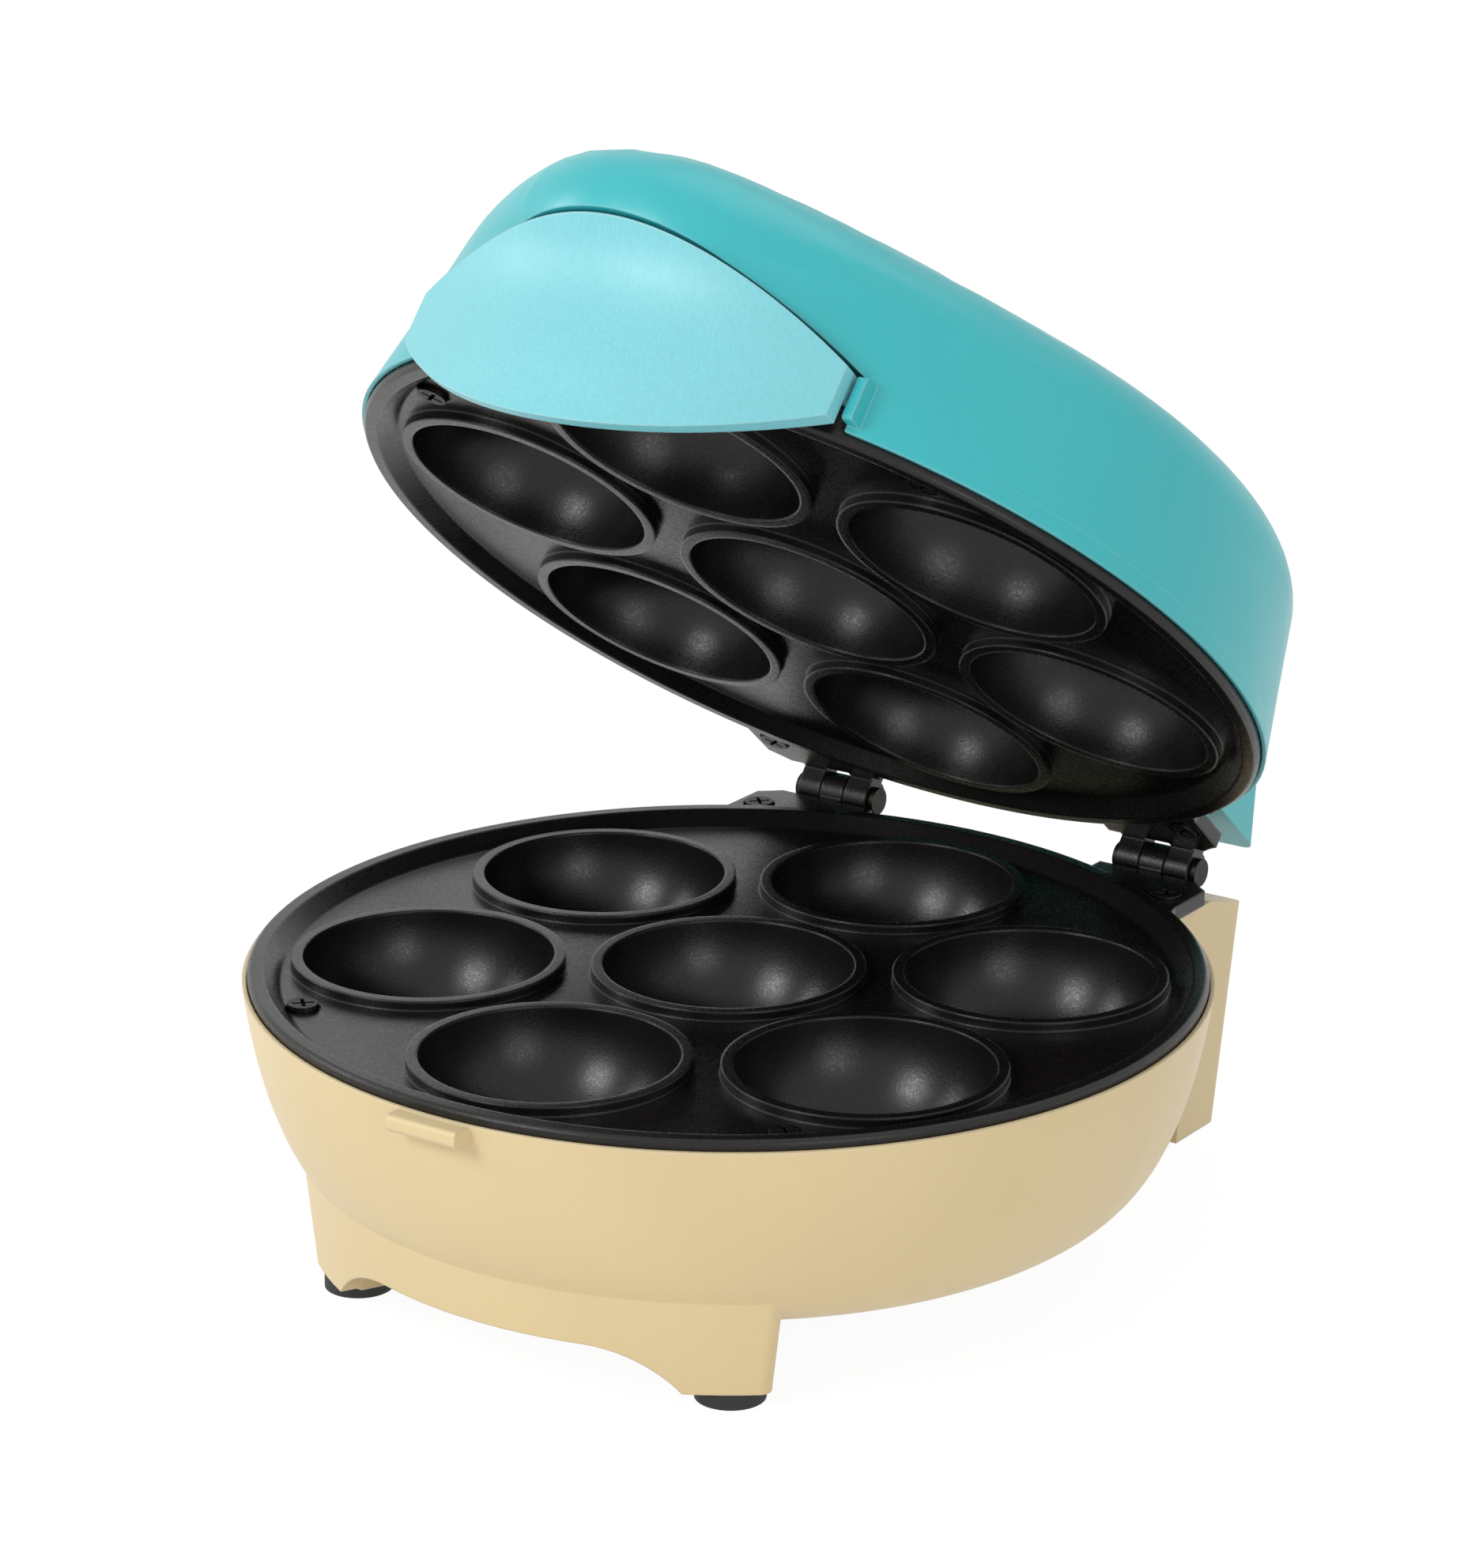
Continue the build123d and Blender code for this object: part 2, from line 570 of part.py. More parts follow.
with BuildPart() as cord_gland:
    with Locations(gland_plane):
        Cylinder(gland_r, 2 * wall + 1.6, align=(Align.CENTER, Align.CENTER, Align.MAX))
        Cylinder(gland_flange_r, 1.6, align=(Align.CENTER, Align.CENTER, Align.MIN))
    with Locations(gland_plane.offset(-wall - 0.3)):
        Cylinder(gland_flange_r - 0.8, 1.4, align=(Align.CENTER, Align.CENTER, Align.MAX))
    with Locations(gland_plane):
        Cylinder(gland_bore_r, 8 * wall, mode=Mode.SUBTRACT)
    fillet(cord_gland.edges().filter_by(GeomType.CIRCLE).group_by(Axis.Y)[-1].sort_by(SortBy.RADIUS)[-1],
           radius=0.7)
cord_gland.part.label = "cord_gland"

# ---------------------------------------------------------------- bottom cover and feet
cover_t = 2.0
cover_r = floor_hole_r + 9.0
with BuildPart() as bottom_cover:
    column([(0, 0)], cover_r, (bowl_floor - cover_t, bowl_floor))
    column([(0, 0)], floor_hole_r - fit_gap, (bowl_floor, bowl_floor + wall))
    column([(0, 0)], floor_hole_r - fit_gap - cover_t, (bowl_floor, bowl_floor + wall + 1), Mode.SUBTRACT)
    with BuildSketch(Plane.XY.offset(bowl_floor - cover_t)):
        with PolarLocations(30, 12):
            SlotOverall(16, 3)
    extrude(amount=cover_t, mode=Mode.SUBTRACT)
    column(cover_screw_spots, small_screw_r + 0.2, (0, bowl_floor), Mode.SUBTRACT)
    fillet(bottom_cover.edges().group_by(Axis.Z)[0].sort_by(SortBy.LENGTH)[-1], radius=0.8)
bottom_cover.part.label = "bottom_cover"

with BuildPart() as rubber_feet:
    for spots, foot_r, foot_h in ((pad_spots, pad_r, leg_clear),
                                  (rear_pad_spots, rear_pad_r, rear_leg_clear)):
        column(spots, foot_r, (0, foot_h))
        column(spots, pad_stem_r, (foot_h, foot_h + wall + 0.1))
        column(spots, pad_stem_r + 1.0, (foot_h + wall + 0.05, foot_h + wall + 1.6))
rubber_feet.part.label = "rubber_feet"


# ---------------------------------------------------------------- lid housing
lid_rim = height(1, housing_gap)
lid_top = height(1, lid_h)
lid_ledge = height(1, plate_back + 0.1)


def lid_outline(z, radius, reach, inset):
    """Outline of the lid: a circle that swells at the front to a round nose.

    Each flank of the nose shrinks to a short arc where the outline is a full circle.
    """
    big, small = radius - inset, nose_r - inset
    offset = nose_reach - nose_r
    turn = (lid_top_r - nose_r) / offset
    lean = sqrt(1 - turn ** 2)
    side = (big * lean, -big * turn)
    grow = (reach - radius) / (nose_reach - lid_top_r)
    if grow:
        corner = (small * lean, -offset - small * turn)
        front = (0, -offset - small)
    else:
        ahead = (Vector(*side) - Vector(0, flank_foot)).normalized() * big
        corner = (ahead.X, ahead.Y)
        front = (0, -big)
    with BuildSketch(Plane.XY.offset(z)) as outline:
        with BuildLine():
            ThreePointArc((-side[0], side[1]), (0, big), side)
            if grow:
                Line(side, corner)
                Line((-side[0], side[1]), (-corner[0], corner[1]))
            else:
                middle = (Vector(*side) + Vector(*corner)).normalized() * big
                ThreePointArc(side, middle, corner)
                ThreePointArc((-side[0], side[1]), (-middle.X, middle.Y), (-corner[0], corner[1]))
            ThreePointArc((-corner[0], corner[1]), front, corner)
        make_face()
    return outline.sketch


def leaf_outline(half, end_high, high, low):
    """Front view of the handle's recess, drawn on a plane ahead of the lid."""
    with BuildSketch(Plane.XZ.offset(rear_front_y)) as outline:
        with BuildLine():
            end = height(1, end_high)
            top = ThreePointArc((-half, end), (0, height(1, high)), (half, end))
            Polyline(top @ 1, (half, low), (-half, low), top @ 0)
        make_face()
    return outline.sketch


with BuildPart() as recess:
    extrude(leaf_outline(recess_half, handle_end_high + recess_gap, handle_high + recess_gap, split_z - 1),
            amount=housing_r)
    column([(0, 0)], recess_r, (0, 2 * split_z), Mode.SUBTRACT)

with BuildPart() as recess_backing:
    extrude(leaf_outline(recess_half + wall, handle_end_high + recess_gap + wall,
                         handle_high + recess_gap + wall, split_z - 2), amount=housing_r)
    column([(0, 0)], recess_r - wall, (0, 2 * split_z), Mode.SUBTRACT)

with BuildPart() as lid_outer:
    loft([lid_outline(lid_rim, housing_r, housing_r, 0), lid_outline(lid_top, lid_top_r, nose_reach, 0)])
    fillet(lid_outer.edges().group_by(Axis.Z)[-1], radius=lid_shoulder)

with BuildPart() as lid_hollow:
    loft([lid_outline(lid_ledge - 0.2, housing_r - 0.4, housing_r - 0.4, wall),
          lid_outline(lid_top - wall, lid_top_r + 0.3, nose_reach, wall)])
    fillet(lid_hollow.edges().group_by(Axis.Z)[-1], radius=lid_shoulder - wall)
    add(recess_backing.part, mode=Mode.SUBTRACT)

rear_cover_low = height(1, rear_cover_bottom)
rear_cover_top = rear_cover_low + rear_cover_h


def cover_y(z):
    """Outside of the lid's rear wall at a height."""
    return between(z, (rear_cover_low, rear_cover_top), (rear_cover_y, rear_cover_y_top))


def cover_half(z):
    return between(z, (rear_cover_low, rear_cover_top), (rear_cover_half, rear_cover_half_top))


cover_screw_spots_rear = both_sides(rear_screw_x, height(1, cover_screw_h))
cover_slope = (rear_cover_y - rear_cover_y_top) / rear_cover_h
connector_z = height(1, lid_hole_h)
connector_y = cover_y(connector_z) - wall
connector_plane = Plane(origin=(0, connector_y, connector_z), x_dir=(1, 0, 0),
                        z_dir=Vector(0, 1, cover_slope).normalized())

with BuildPart() as lid_bosses:
    column(front_screw_spots, boss_r, (lid_ledge, lid_top))
    column(shield_spots, shield_post_r, (height(1, shield_drop + shield_t), lid_top))
    rod(cover_screw_spots_rear, (cover_seat_y, rear_cover_y), boss_r + 0.5)
    add(lid_outer.part, mode=Mode.INTERSECT)

with BuildPart() as latch_bosses:
    for side in (1, -1):
        x_range = sorted((side * recess_half, side * (recess_half + latch_boss_w)))
        block(x_range, (-latch_y - latch_pin_r - latch_boss_wall, 2 * latch_lug_r - latch_y),
              (height(1, latch_boss_low), height(1, latch_boss_high)))
    fillet(latch_bosses.edges().filter_by(Axis.X).group_by(Axis.Y)[0], radius=0.8)

with BuildPart() as lid_shell:
    add(lid_outer.part)
    add(lid_hollow.part, mode=Mode.SUBTRACT)
    add(recess.part, mode=Mode.SUBTRACT)
    add(latch_bosses.part)
    add(lid_bosses.part)
    column([(0, 0)], plate_r + seat_gap, (0, lid_ledge), Mode.SUBTRACT)
    column(front_screw_spots, screw_r + run_gap, (lid_ledge, lid_ledge + 13), Mode.SUBTRACT)
    column(shield_spots, small_screw_r + run_gap, (height(1, shield_drop), height(1, shield_drop + 8)),
           Mode.SUBTRACT)
    for side in (1, -1):
        x_range = sorted((side * (ear_inner - fit_gap), side * (ear_half + 6)))
        block(x_range, (rear_front_y, ear_neck + 5), (0, height(1, ear_back + fit_gap)), Mode.SUBTRACT)
    drill(cover_screw_spots_rear, (rear_front_y, rear_cover_y), screw_r + 0.2)
    drill([(0, height(1, lid_hole_h))], (rear_front_y, rear_cover_y), lid_hole_r)
    column(lamp_spots, lamp_r + run_gap, (lid_top - 2 * wall, lid_top + 1), Mode.SUBTRACT)
    barrel(latch_pin_ranges, -latch_y, height(1, latch_h), latch_pin_r + run_gap, Mode.SUBTRACT)
lid_shell.part.label = "lid_shell"

with BuildPart() as cover_outer:
    loft([box_outline(rear_cover_half, rear_cover_y, rear_cover_low),
          box_outline(rear_cover_half_top, rear_cover_y_top, rear_cover_top)])
    fillet(cover_outer.edges().group_by(Axis.Z)[-1], radius=3)

with BuildPart() as lid_rear_cover:
    add(cover_outer.part)
    hollow_low, hollow_high = rear_cover_low + wall, rear_cover_top - wall
    loft([box_outline(cover_half(hollow_low), cover_y(hollow_low), hollow_low, wall),
          box_outline(cover_half(hollow_high), cover_y(hollow_high), hollow_high, wall)],
         mode=Mode.SUBTRACT)
    with BuildPart(mode=Mode.PRIVATE) as cover_posts:
        column(ear_screw_spots, boss_r, (rear_cover_low, rear_cover_low + 14))
        rod(cover_screw_spots_rear, (cover_seat_y, rear_cover_y), boss_r)
        add(cover_outer.part, mode=Mode.INTERSECT)
    add(cover_posts.part)
    column(ear_screw_spots, boss_r - 0.4,
           (height(1, ear_back + 0.02), rear_cover_low + 1))
    add(lid_outer.part, mode=Mode.SUBTRACT)
    column(ear_screw_spots, screw_r + run_gap, (split_z, rear_cover_low + 13),
           Mode.SUBTRACT)
    drill(cover_screw_spots_rear, (cover_seat_y, rear_cover_y_top - wall), screw_r + run_gap)
    peg_holes(connector_plane, connector_size)
lid_rear_cover.part.label = "lid_rear_cover"


# ---------------------------------------------------------------- latch handle
def crescent(rise, reach):
    """Level slice through the handle's curved panel."""
    back = handle_end_y - 1.45 * handle_wall
    with BuildSketch(Plane.XY.offset(height(1, rise))) as level:
        with BuildLine():
            outer = ThreePointArc((-handle_half, -handle_end_y), (0, -reach), (handle_half, -handle_end_y))
            inner = ThreePointArc((-handle_half, -back), (0, handle_wall - reach), (handle_half, -back))
            Line(outer @ 0, inner @ 0)
            Line(outer @ 1, inner @ 1)
        make_face()
    return level.sketch


with BuildPart() as leaf:
    with BuildSketch(Plane.XZ.offset(rear_front_y)):
        with BuildLine():
            upper = ThreePointArc((-handle_half, height(1, handle_end_high)), (0, height(1, handle_high)),
                                  (handle_half, height(1, handle_end_high)))
            lower = ThreePointArc((-handle_half, height(1, handle_end_low)), (0, height(-1, handle_low)),
                                  (handle_half, height(1, handle_end_low)))
            Line(upper @ 0, lower @ 0)
            Line(upper @ 1, lower @ 1)
        make_face()
    extrude(amount=housing_r)

latch_axis = Axis((0, -latch_y, height(1, latch_h)), (-1, 0, 0))
lug_ranges = [(latch_lug_x, latch_lug_x + latch_lug_t), (-latch_lug_x - latch_lug_t, -latch_lug_x)]
with BuildPart() as keep_out:
    column([(0, 0)], plate_r + 1.8, (height(-1, 30), height(1, plate_back + 1.4)))

with BuildPart() as tab_room:
    block((-tab_half - fit_gap, tab_half + fit_gap), (-tab_reach - fit_gap, -plate_r),
          (height(-1, tab_drop + tab_h + fit_gap), height(-1, tab_drop - fit_gap)))

with BuildPart() as latch_handle:
    loft([crescent(rise, housing_r + out) for rise, out in handle_out])
    add(leaf.part, mode=Mode.INTERSECT)
    for x_range in lug_ranges:
        block(sorted(x_range), (-handle_end_y + 0.4, -latch_y),
              (height(1, latch_h - latch_lug_r), height(1, latch_h + latch_lug_r)))
    barrel(lug_ranges, -latch_y, height(1, latch_h), latch_lug_r)
    block((-hook_half, hook_half), (-hook_tip_r - 2.6, -hook_tip_r),
          (height(-1, hook_top_drop + hook_h), height(-1, hook_top_drop)))
    add(keep_out.part, mode=Mode.SUBTRACT)
    add(keep_out.part.rotate(latch_axis, latch_swing), mode=Mode.SUBTRACT)
    add(tab_room.part.rotate(latch_axis, latch_swing), mode=Mode.SUBTRACT)
    barrel(latch_pin_ranges, -latch_y, height(1, latch_h), latch_pin_r + run_gap, Mode.SUBTRACT)
latch_handle.part.label = "latch_handle"

with BuildPart() as latch_pivot_pins:
    pin_spans = [(low + run_gap, high - run_gap) for low, high in latch_pin_ranges]
    barrel(pin_spans, -latch_y, height(1, latch_h), latch_pin_r)
latch_pivot_pins.part.label = "latch_pivot_pins"


# ---------------------------------------------------------------- screws
def screws(spots, seat, way, head, shank):
    """Adds upright screws at the spots; `way` tells where their tips point."""
    head_radius, head_height = head
    shank_radius, shank_length = shank
    column(spots, head_radius, (seat, seat - way * head_height))
    column(spots, shank_radius, (seat, seat + way * shank_length))
    for x, y, *_ in spots:
        for turn in (45, 135):
            with Locations(Location((x, y, seat - way * head_height), (0, 0, turn))):
                Box(1.4 * head_radius, 0.25 * head_radius, head_height, mode=Mode.SUBTRACT)


def rear_screws(spots, seat, length):
    """Adds screws whose tips point to the rear."""
    rod(spots, (seat - screw_head_h, seat), screw_head_r)
    rod(spots, (seat, seat + length), screw_r)


plate_screw = (screw_head_r, screw_head_h), (screw_r, 14.0)
small_screw = (small_head_r, small_head_h), (small_screw_r, 5.5)
with BuildPart() as lower_plate_screws:
    for spots, _, seat, _ in plate_screws:
        screws(spots, height(-1, seat), -1, *plate_screw)
lower_plate_screws.part.label = "lower_plate_screws"

with BuildPart() as upper_plate_screws:
    for spots, _, seat, _ in plate_screws:
        screws(spots, height(1, seat), 1, *plate_screw)
upper_plate_screws.part.label = "upper_plate_screws"

with BuildPart() as rear_housing_screws:
    rear_screws(both_sides(rear_screw_x, rear_screw_z), rear_seat_y, 17)
rear_housing_screws.part.label = "rear_housing_screws"

with BuildPart() as rear_cover_screws:
    rear_screws(cover_screw_spots_rear, cover_seat_y, 12)
rear_cover_screws.part.label = "rear_cover_screws"

with BuildPart() as bottom_cover_screws:
    screws(cover_screw_spots, bowl_floor - cover_t, 1, *small_screw)
bottom_cover_screws.part.label = "bottom_cover_screws"

with BuildPart() as lower_shield_screws:
    screws(shield_spots, height(-1, shield_drop), -1, *small_screw)
lower_shield_screws.part.label = "lower_shield_screws"

with BuildPart() as upper_shield_screws:
    screws(shield_spots, height(1, shield_drop), 1, *small_screw)
upper_shield_screws.part.label = "upper_shield_screws"

with BuildPart() as lower_clamp_screws:
    screws(clamp_spots, height(-1, clamp_depth + clamp_t), 1, *small_screw)
lower_clamp_screws.part.label = "lower_clamp_screws"

with BuildPart() as upper_clamp_screws:
    screws(clamp_spots, height(1, clamp_depth + clamp_t), -1, *small_screw)
upper_clamp_screws.part.label = "upper_clamp_screws"

# ---------------------------------------------------------------- hinge pins
with BuildPart() as hinge_pins:
    for side in (1, -1):
        inner = side * (knuckle_mid - hinge_half_w - pin_head_w)
        outer = side * (knuckle_mid + hinge_half_w + run_gap)
        head = side * (knuckle_mid + hinge_half_w + run_gap + pin_head_w)
        barrel([sorted((inner, outer))], hinge_y, hinge_z, pin_r)
        barrel([sorted((outer, head))], hinge_y, hinge_z, pin_head_r)
hinge_pins.part.label = "hinge_pins"

with BuildPart() as pin_rings:
    for side in (1, -1):
        near = side * (knuckle_mid - hinge_half_w - run_gap)
        far = side * (knuckle_mid - hinge_half_w - pin_head_w)
        barrel([sorted((near, far))], hinge_y, hinge_z, pin_head_r)
        barrel([sorted((near, far))], hinge_y, hinge_z, pin_r + 0.02, Mode.SUBTRACT)
pin_rings.part.label = "pin_rings"


# ---------------------------------------------------------------- heating
def tube(points, radius, bend):
    """A round bar or wire along a bent line, as a private solid."""
    with BuildPart(mode=Mode.PRIVATE) as piece:
        with BuildLine() as path:
            FilletPolyline(*points, radius=bend)
        with BuildSketch(Plane(origin=path.line @ 0, z_dir=path.line % 0)):
            Circle(radius)
        sweep()
    return piece.part


element_end = 180 - element_open / 2
leg_tip = Vector(*around(ring_r, element_end, 0)) + Vector(
    *around(element_bend, element_end + 90, 0))
leg_spots = both_sides(leg_tip.X, leg_tip.Y)


def heating_element(way):
    """Adds an open ring with two legs that turn away from the plate."""
    level = height(way, element_depth)
    end = height(way, element_depth + element_leg)
    with BuildPart(mode=Mode.PRIVATE) as ring:
        with BuildLine() as path:
            near, far = [around(ring_r, side * element_end, level) for side in (-1, 1)]
            ThreePointArc(near, around(ring_r, 0, level), far)
            for side, corner in ((-1, near), (1, far)):
                turned = (side * leg_tip.X, leg_tip.Y, height(way, element_depth + element_bend))
                TangentArc(corner, turned, tangent=around(side, side * element_end + 90, 0))
                Line(turned, (side * leg_tip.X, leg_tip.Y, end))
        start = (-leg_tip.X, leg_tip.Y, end)
        with BuildSketch(Plane(origin=start, z_dir=(0, 0, way))):
            Circle(element_r)
        sweep(path=path.wire())
    add(ring.part)
    column(leg_spots, element_pin_r + run_gap, (end, end - way * 3), Mode.SUBTRACT)


def element_pins(way):
    end = height(way, element_depth + element_leg)
    column(leg_spots, element_pin_r, (end - way * 3, end + way * element_pin_l))


def clamps(way):
    """Adds flat strips that press the ring against its bosses."""
    level = height(way, clamp_depth + clamp_t / 2)
    for angle in gap_angles:
        middle = around(clamp_ring_r + clamp_w / 2 - clamp_l / 2, angle, level)
        with Locations(Location(middle, (0, 0, angle))):
            Box(clamp_w, clamp_l, clamp_t - 0.04)
    column(clamp_spots, small_screw_r + 0.2, (height(way, 0), height(way, shield_drop)), Mode.SUBTRACT)


def heat_shield(way):
    """Adds a shallow pan: a disc with a rim turned away from the plate."""
    near, far = height(way, shield_drop), height(way, shield_drop + shield_t - 0.04)
    lip_end = height(way, shield_drop + shield_lip)
    column([(0, 0)], shield_r, (near, lip_end))
    column([(0, 0)], shield_r - shield_t, (far, lip_end + way), Mode.SUBTRACT)
    column(shield_spots, small_screw_r + 0.2, (near - way, far + way), Mode.SUBTRACT)


with BuildPart() as lower_element:
    heating_element(-1)
lower_element.part.label = "lower_heating_element"

with BuildPart() as upper_element:
    heating_element(1)
upper_element.part.label = "upper_heating_element"

with BuildPart() as lower_pins:
    element_pins(-1)
lower_pins.part.label = "lower_element_pins"

with BuildPart() as upper_pins:
    element_pins(1)
upper_pins.part.label = "upper_element_pins"

with BuildPart() as lower_clamps:
    clamps(-1)
lower_clamps.part.label = "lower_element_clamps"

with BuildPart() as upper_clamps:
    clamps(1)
upper_clamps.part.label = "upper_element_clamps"

with BuildPart() as lower_shield:
    heat_shield(-1)
lower_shield.part.label = "lower_heat_shield"

with BuildPart() as upper_shield:
    heat_shield(1)
upper_shield.part.label = "upper_heat_shield"

# ---------------------------------------------------------------- switches under the lower plate
flange_z = height(-1, plate_back + 0.02)
switch_end = flange_z - switch_flange_t - switch_h


def disc_switch(angle):
    """Adds a disc switch with a two-hole flange and two blade terminals."""
    x, y, _ = around(switch_ring, angle, 0)
    with Locations(Location((x, y, flange_z - switch_flange_t / 2), (0, 0, angle))):
        Box(2 * switch_screw_off + 5, 6, switch_flange_t)
    column([(x, y)], switch_r, (flange_z, switch_end))
    with Locations(Location((x, y, switch_end - blade_l / 2), (0, 0, angle))):
        with Locations((blade_off, 0), (-blade_off, 0)):
            Box(3.2, 0.8, blade_l)
    column(switch_screw_spots(angle), small_screw_r + 0.2, (flange_z, switch_end), Mode.SUBTRACT)


with BuildPart() as thermostat:
    disc_switch(switch_angle)
thermostat.part.label = "thermostat"

with BuildPart() as thermal_cutout:
    disc_switch(-switch_angle)
thermal_cutout.part.label = "thermal_cutout"

with BuildPart() as switch_screws:
    both_switches = switch_screw_spots(switch_angle) + switch_screw_spots(-switch_angle)
    screws(both_switches, flange_z - switch_flange_t, 1, (small_head_r, small_head_h),
           (small_screw_r, switch_flange_t + 1.7))
switch_screws.part.label = "switch_screws"


# ---------------------------------------------------------------- terminals, lamps, wiring
def wall_block(plane, size, holes):
    """Adds a block that stands on a wall's inner face, with its pegs and wire holes."""
    across, tall, deep = size
    with Locations(plane.offset(-0.02)):
        Box(across, tall, deep, align=(Align.CENTER, Align.CENTER, Align.MAX))
        with Locations(*peg_spots(size)):
            Cylinder(peg_r, peg_l, align=(Align.CENTER, Align.CENTER, Align.MIN))
    for start, direction in holes:
        with Locations(Plane(origin=start, z_dir=direction)):
            Cylinder(wire_r + 0.1, 8, mode=Mode.SUBTRACT)


def level_points(way, points):
    """Points whose third value is a depth from the meeting plane."""
    return [(x, y, height(way, depth)) for x, y, depth in points]


def mirrored(points):
    return [(-x, y, z) for x, y, z in points]


block_low = block_z - block_size[1] / 2
block_wire_y = rear_y(block_z) - wall - block_size[2] / 2
with BuildPart() as terminal_block:
    wall_block(block_plane, block_size,
               [((side * block_wire_x, block_wire_y, block_low), (0, 0, 1)) for side in (1, -1)])
terminal_block.part.label = "terminal_block"

lid_wire_rows = (lid_hole_h + 2.4, lid_hole_h - 2.2)
connector_front = connector_y - connector_size[2]
with BuildPart() as lid_connector:
    wall_block(connector_plane, connector_size,
               [((side * lid_wire_x, connector_front, height(1, row)), (0, 1, 0))
                for side in (1, -1) for row in lid_wire_rows])
lid_connector.part.label = "lid_connector"

lamp_under = height(1, lid_h - wall)
with BuildPart() as lenses:
    column(lamp_spots, lamp_r, (lamp_under - 0.1, lid_top + lamp_rise))
    fillet(lenses.edges().group_by(Axis.Z)[-1], radius=0.8)
    column(lamp_spots, lamp_r + 1.4, (lamp_under - 1.1, lamp_under - 0.04))

with BuildPart() as power_lamp_lens:
    add(lenses.part.solids().sort_by(Axis.X)[0])
power_lamp_lens.part.label = "power_lamp_lens"

with BuildPart() as ready_lamp_lens:
    add(lenses.part.solids().sort_by(Axis.X)[-1])
ready_lamp_lens.part.label = "ready_lamp_lens"

with BuildPart() as lamp_holders:
    column(lamp_spots, lamp_r + 1.4, (lamp_under - 1.12, lamp_under - lamp_holder_h))
lamp_holders.part.label = "lamp_holders"

pin_end = element_depth + element_leg + element_pin_l + 0.02
blade_end = split_z - switch_end + blade_l + 0.02
inner_blade, outer_blade = [
    (Vector(*around(switch_ring, switch_angle, 0)) + Vector(*around(off, switch_angle + 90, 0)))
    for off in (blade_off, -blade_off)]
pin_x, pin_y = leg_tip.X, leg_tip.Y
block_wire_end = split_z - block_low - 3
hole_x = wire_hole_r / 2
bowl_side_y = plate_r - 8
with BuildPart() as base_wiring:
    add(tube(level_points(-1, [(pin_x, pin_y, pin_end), (pin_x, pin_y, wire_depth),
                               (-hole_x, bowl_side_y, wire_depth), (-hole_x, ear_reach, wire_depth),
                               (-block_wire_x, block_wire_y, block_drop + 8),
                               (-block_wire_x, block_wire_y, block_wire_end)]), wire_r, wire_bend))
    add(tube(level_points(-1, [(outer_blade.X, outer_blade.Y, blade_end),
                               (outer_blade.X, outer_blade.Y, wire_depth - 1.4),
                               (hole_x, bowl_side_y, wire_depth - 1.4), (hole_x, ear_reach, wire_depth - 1.4),
                               (block_wire_x, block_wire_y, block_drop + 8),
                               (block_wire_x, block_wire_y, block_wire_end)]), wire_r, wire_bend))
    half = [(inner_blade.X, inner_blade.Y, blade_end), (inner_blade.X, inner_blade.Y, blade_end + 4.2),
            (20, switch_ring - 2.4, blade_end + 4.2)]
    add(tube(level_points(-1, half + mirrored(half)[::-1]), wire_r, wire_bend))
    add(tube(level_points(-1, mirrored([(outer_blade.X, outer_blade.Y, blade_end),
                                        (outer_blade.X, outer_blade.Y, wire_depth),
                                        (pin_x, pin_y, wire_depth), (pin_x, pin_y, pin_end)])),
             wire_r, wire_bend))
base_wiring.part.label = "base_wiring"

lid_side_y = plate_r - 13
with BuildPart() as lid_wiring:
    pin_lead = [(pin_x, pin_y, pin_end), (pin_x, pin_y, wire_depth),
                (lid_wire_x, lid_side_y - 3, wire_depth), (lid_wire_x, lid_side_y + 2.5, lid_wire_rows[0]),
                (lid_wire_x, connector_front + 1, lid_wire_rows[0])]
    lamp_level = lid_h - wall - lamp_holder_h - 1.6
    lamp_lead = [(lamp_x, lamp_y, lamp_level + 1.58), (lamp_x, lamp_y, lamp_level),
                 (lamp_x, lid_side_y, lamp_level), (lamp_x, lid_side_y + 2.5, lid_wire_rows[1]),
                 (lid_wire_x, lid_side_y + 8, lid_wire_rows[1]),
                 (lid_wire_x, connector_front + 1, lid_wire_rows[1])]
    for lead in (pin_lead, lamp_lead):
        add(tube(level_points(1, lead), wire_r, wire_bend))
        add(tube(level_points(1, mirrored(lead)), wire_r, wire_bend))
lid_wiring.part.label = "lid_wiring"


# ---------------------------------------------------------------- placing and writing
base_pieces = [base_housing, rear_housing, bottom_cover, rubber_feet, lower_plate, lower_plate_screws,
               rear_housing_screws, bottom_cover_screws, hinge_pins, pin_rings, lower_element, lower_pins,
               lower_clamps, lower_clamp_screws, lower_shield, lower_shield_screws, thermostat,
               thermal_cutout, switch_screws, terminal_block, cord_gland, base_wiring]
lid_pieces = [lid_shell, lid_rear_cover, rear_cover_screws, upper_plate, upper_plate_screws, upper_element,
              upper_pins, upper_clamps, upper_clamp_screws, upper_shield, upper_shield_screws,
              power_lamp_lens, ready_lamp_lens, lamp_holders, lid_connector, lid_wiring,
              latch_pivot_pins, latch_handle]

hinge_spot = Location((0, hinge_y, hinge_z))
lid_open = hinge_spot * Location((0, 0, 0), (-rest_angle, 0, 0)) * hinge_spot.inverse()
for piece in lid_pieces:
    piece.part.move(lid_open)

limits = [piece.part.bounding_box() for piece in base_pieces + lid_pieces]
middle_y = (min(box.min.Y for box in limits) + max(box.max.Y for box in limits)) / 2
for piece in base_pieces + lid_pieces:
    piece.part.move(Location((0, -middle_y, 0)))
    export_step(piece.part, f"parts/{piece.part.label}.step")
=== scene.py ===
"""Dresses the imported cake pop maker: finishes, soft studio light and a camera."""

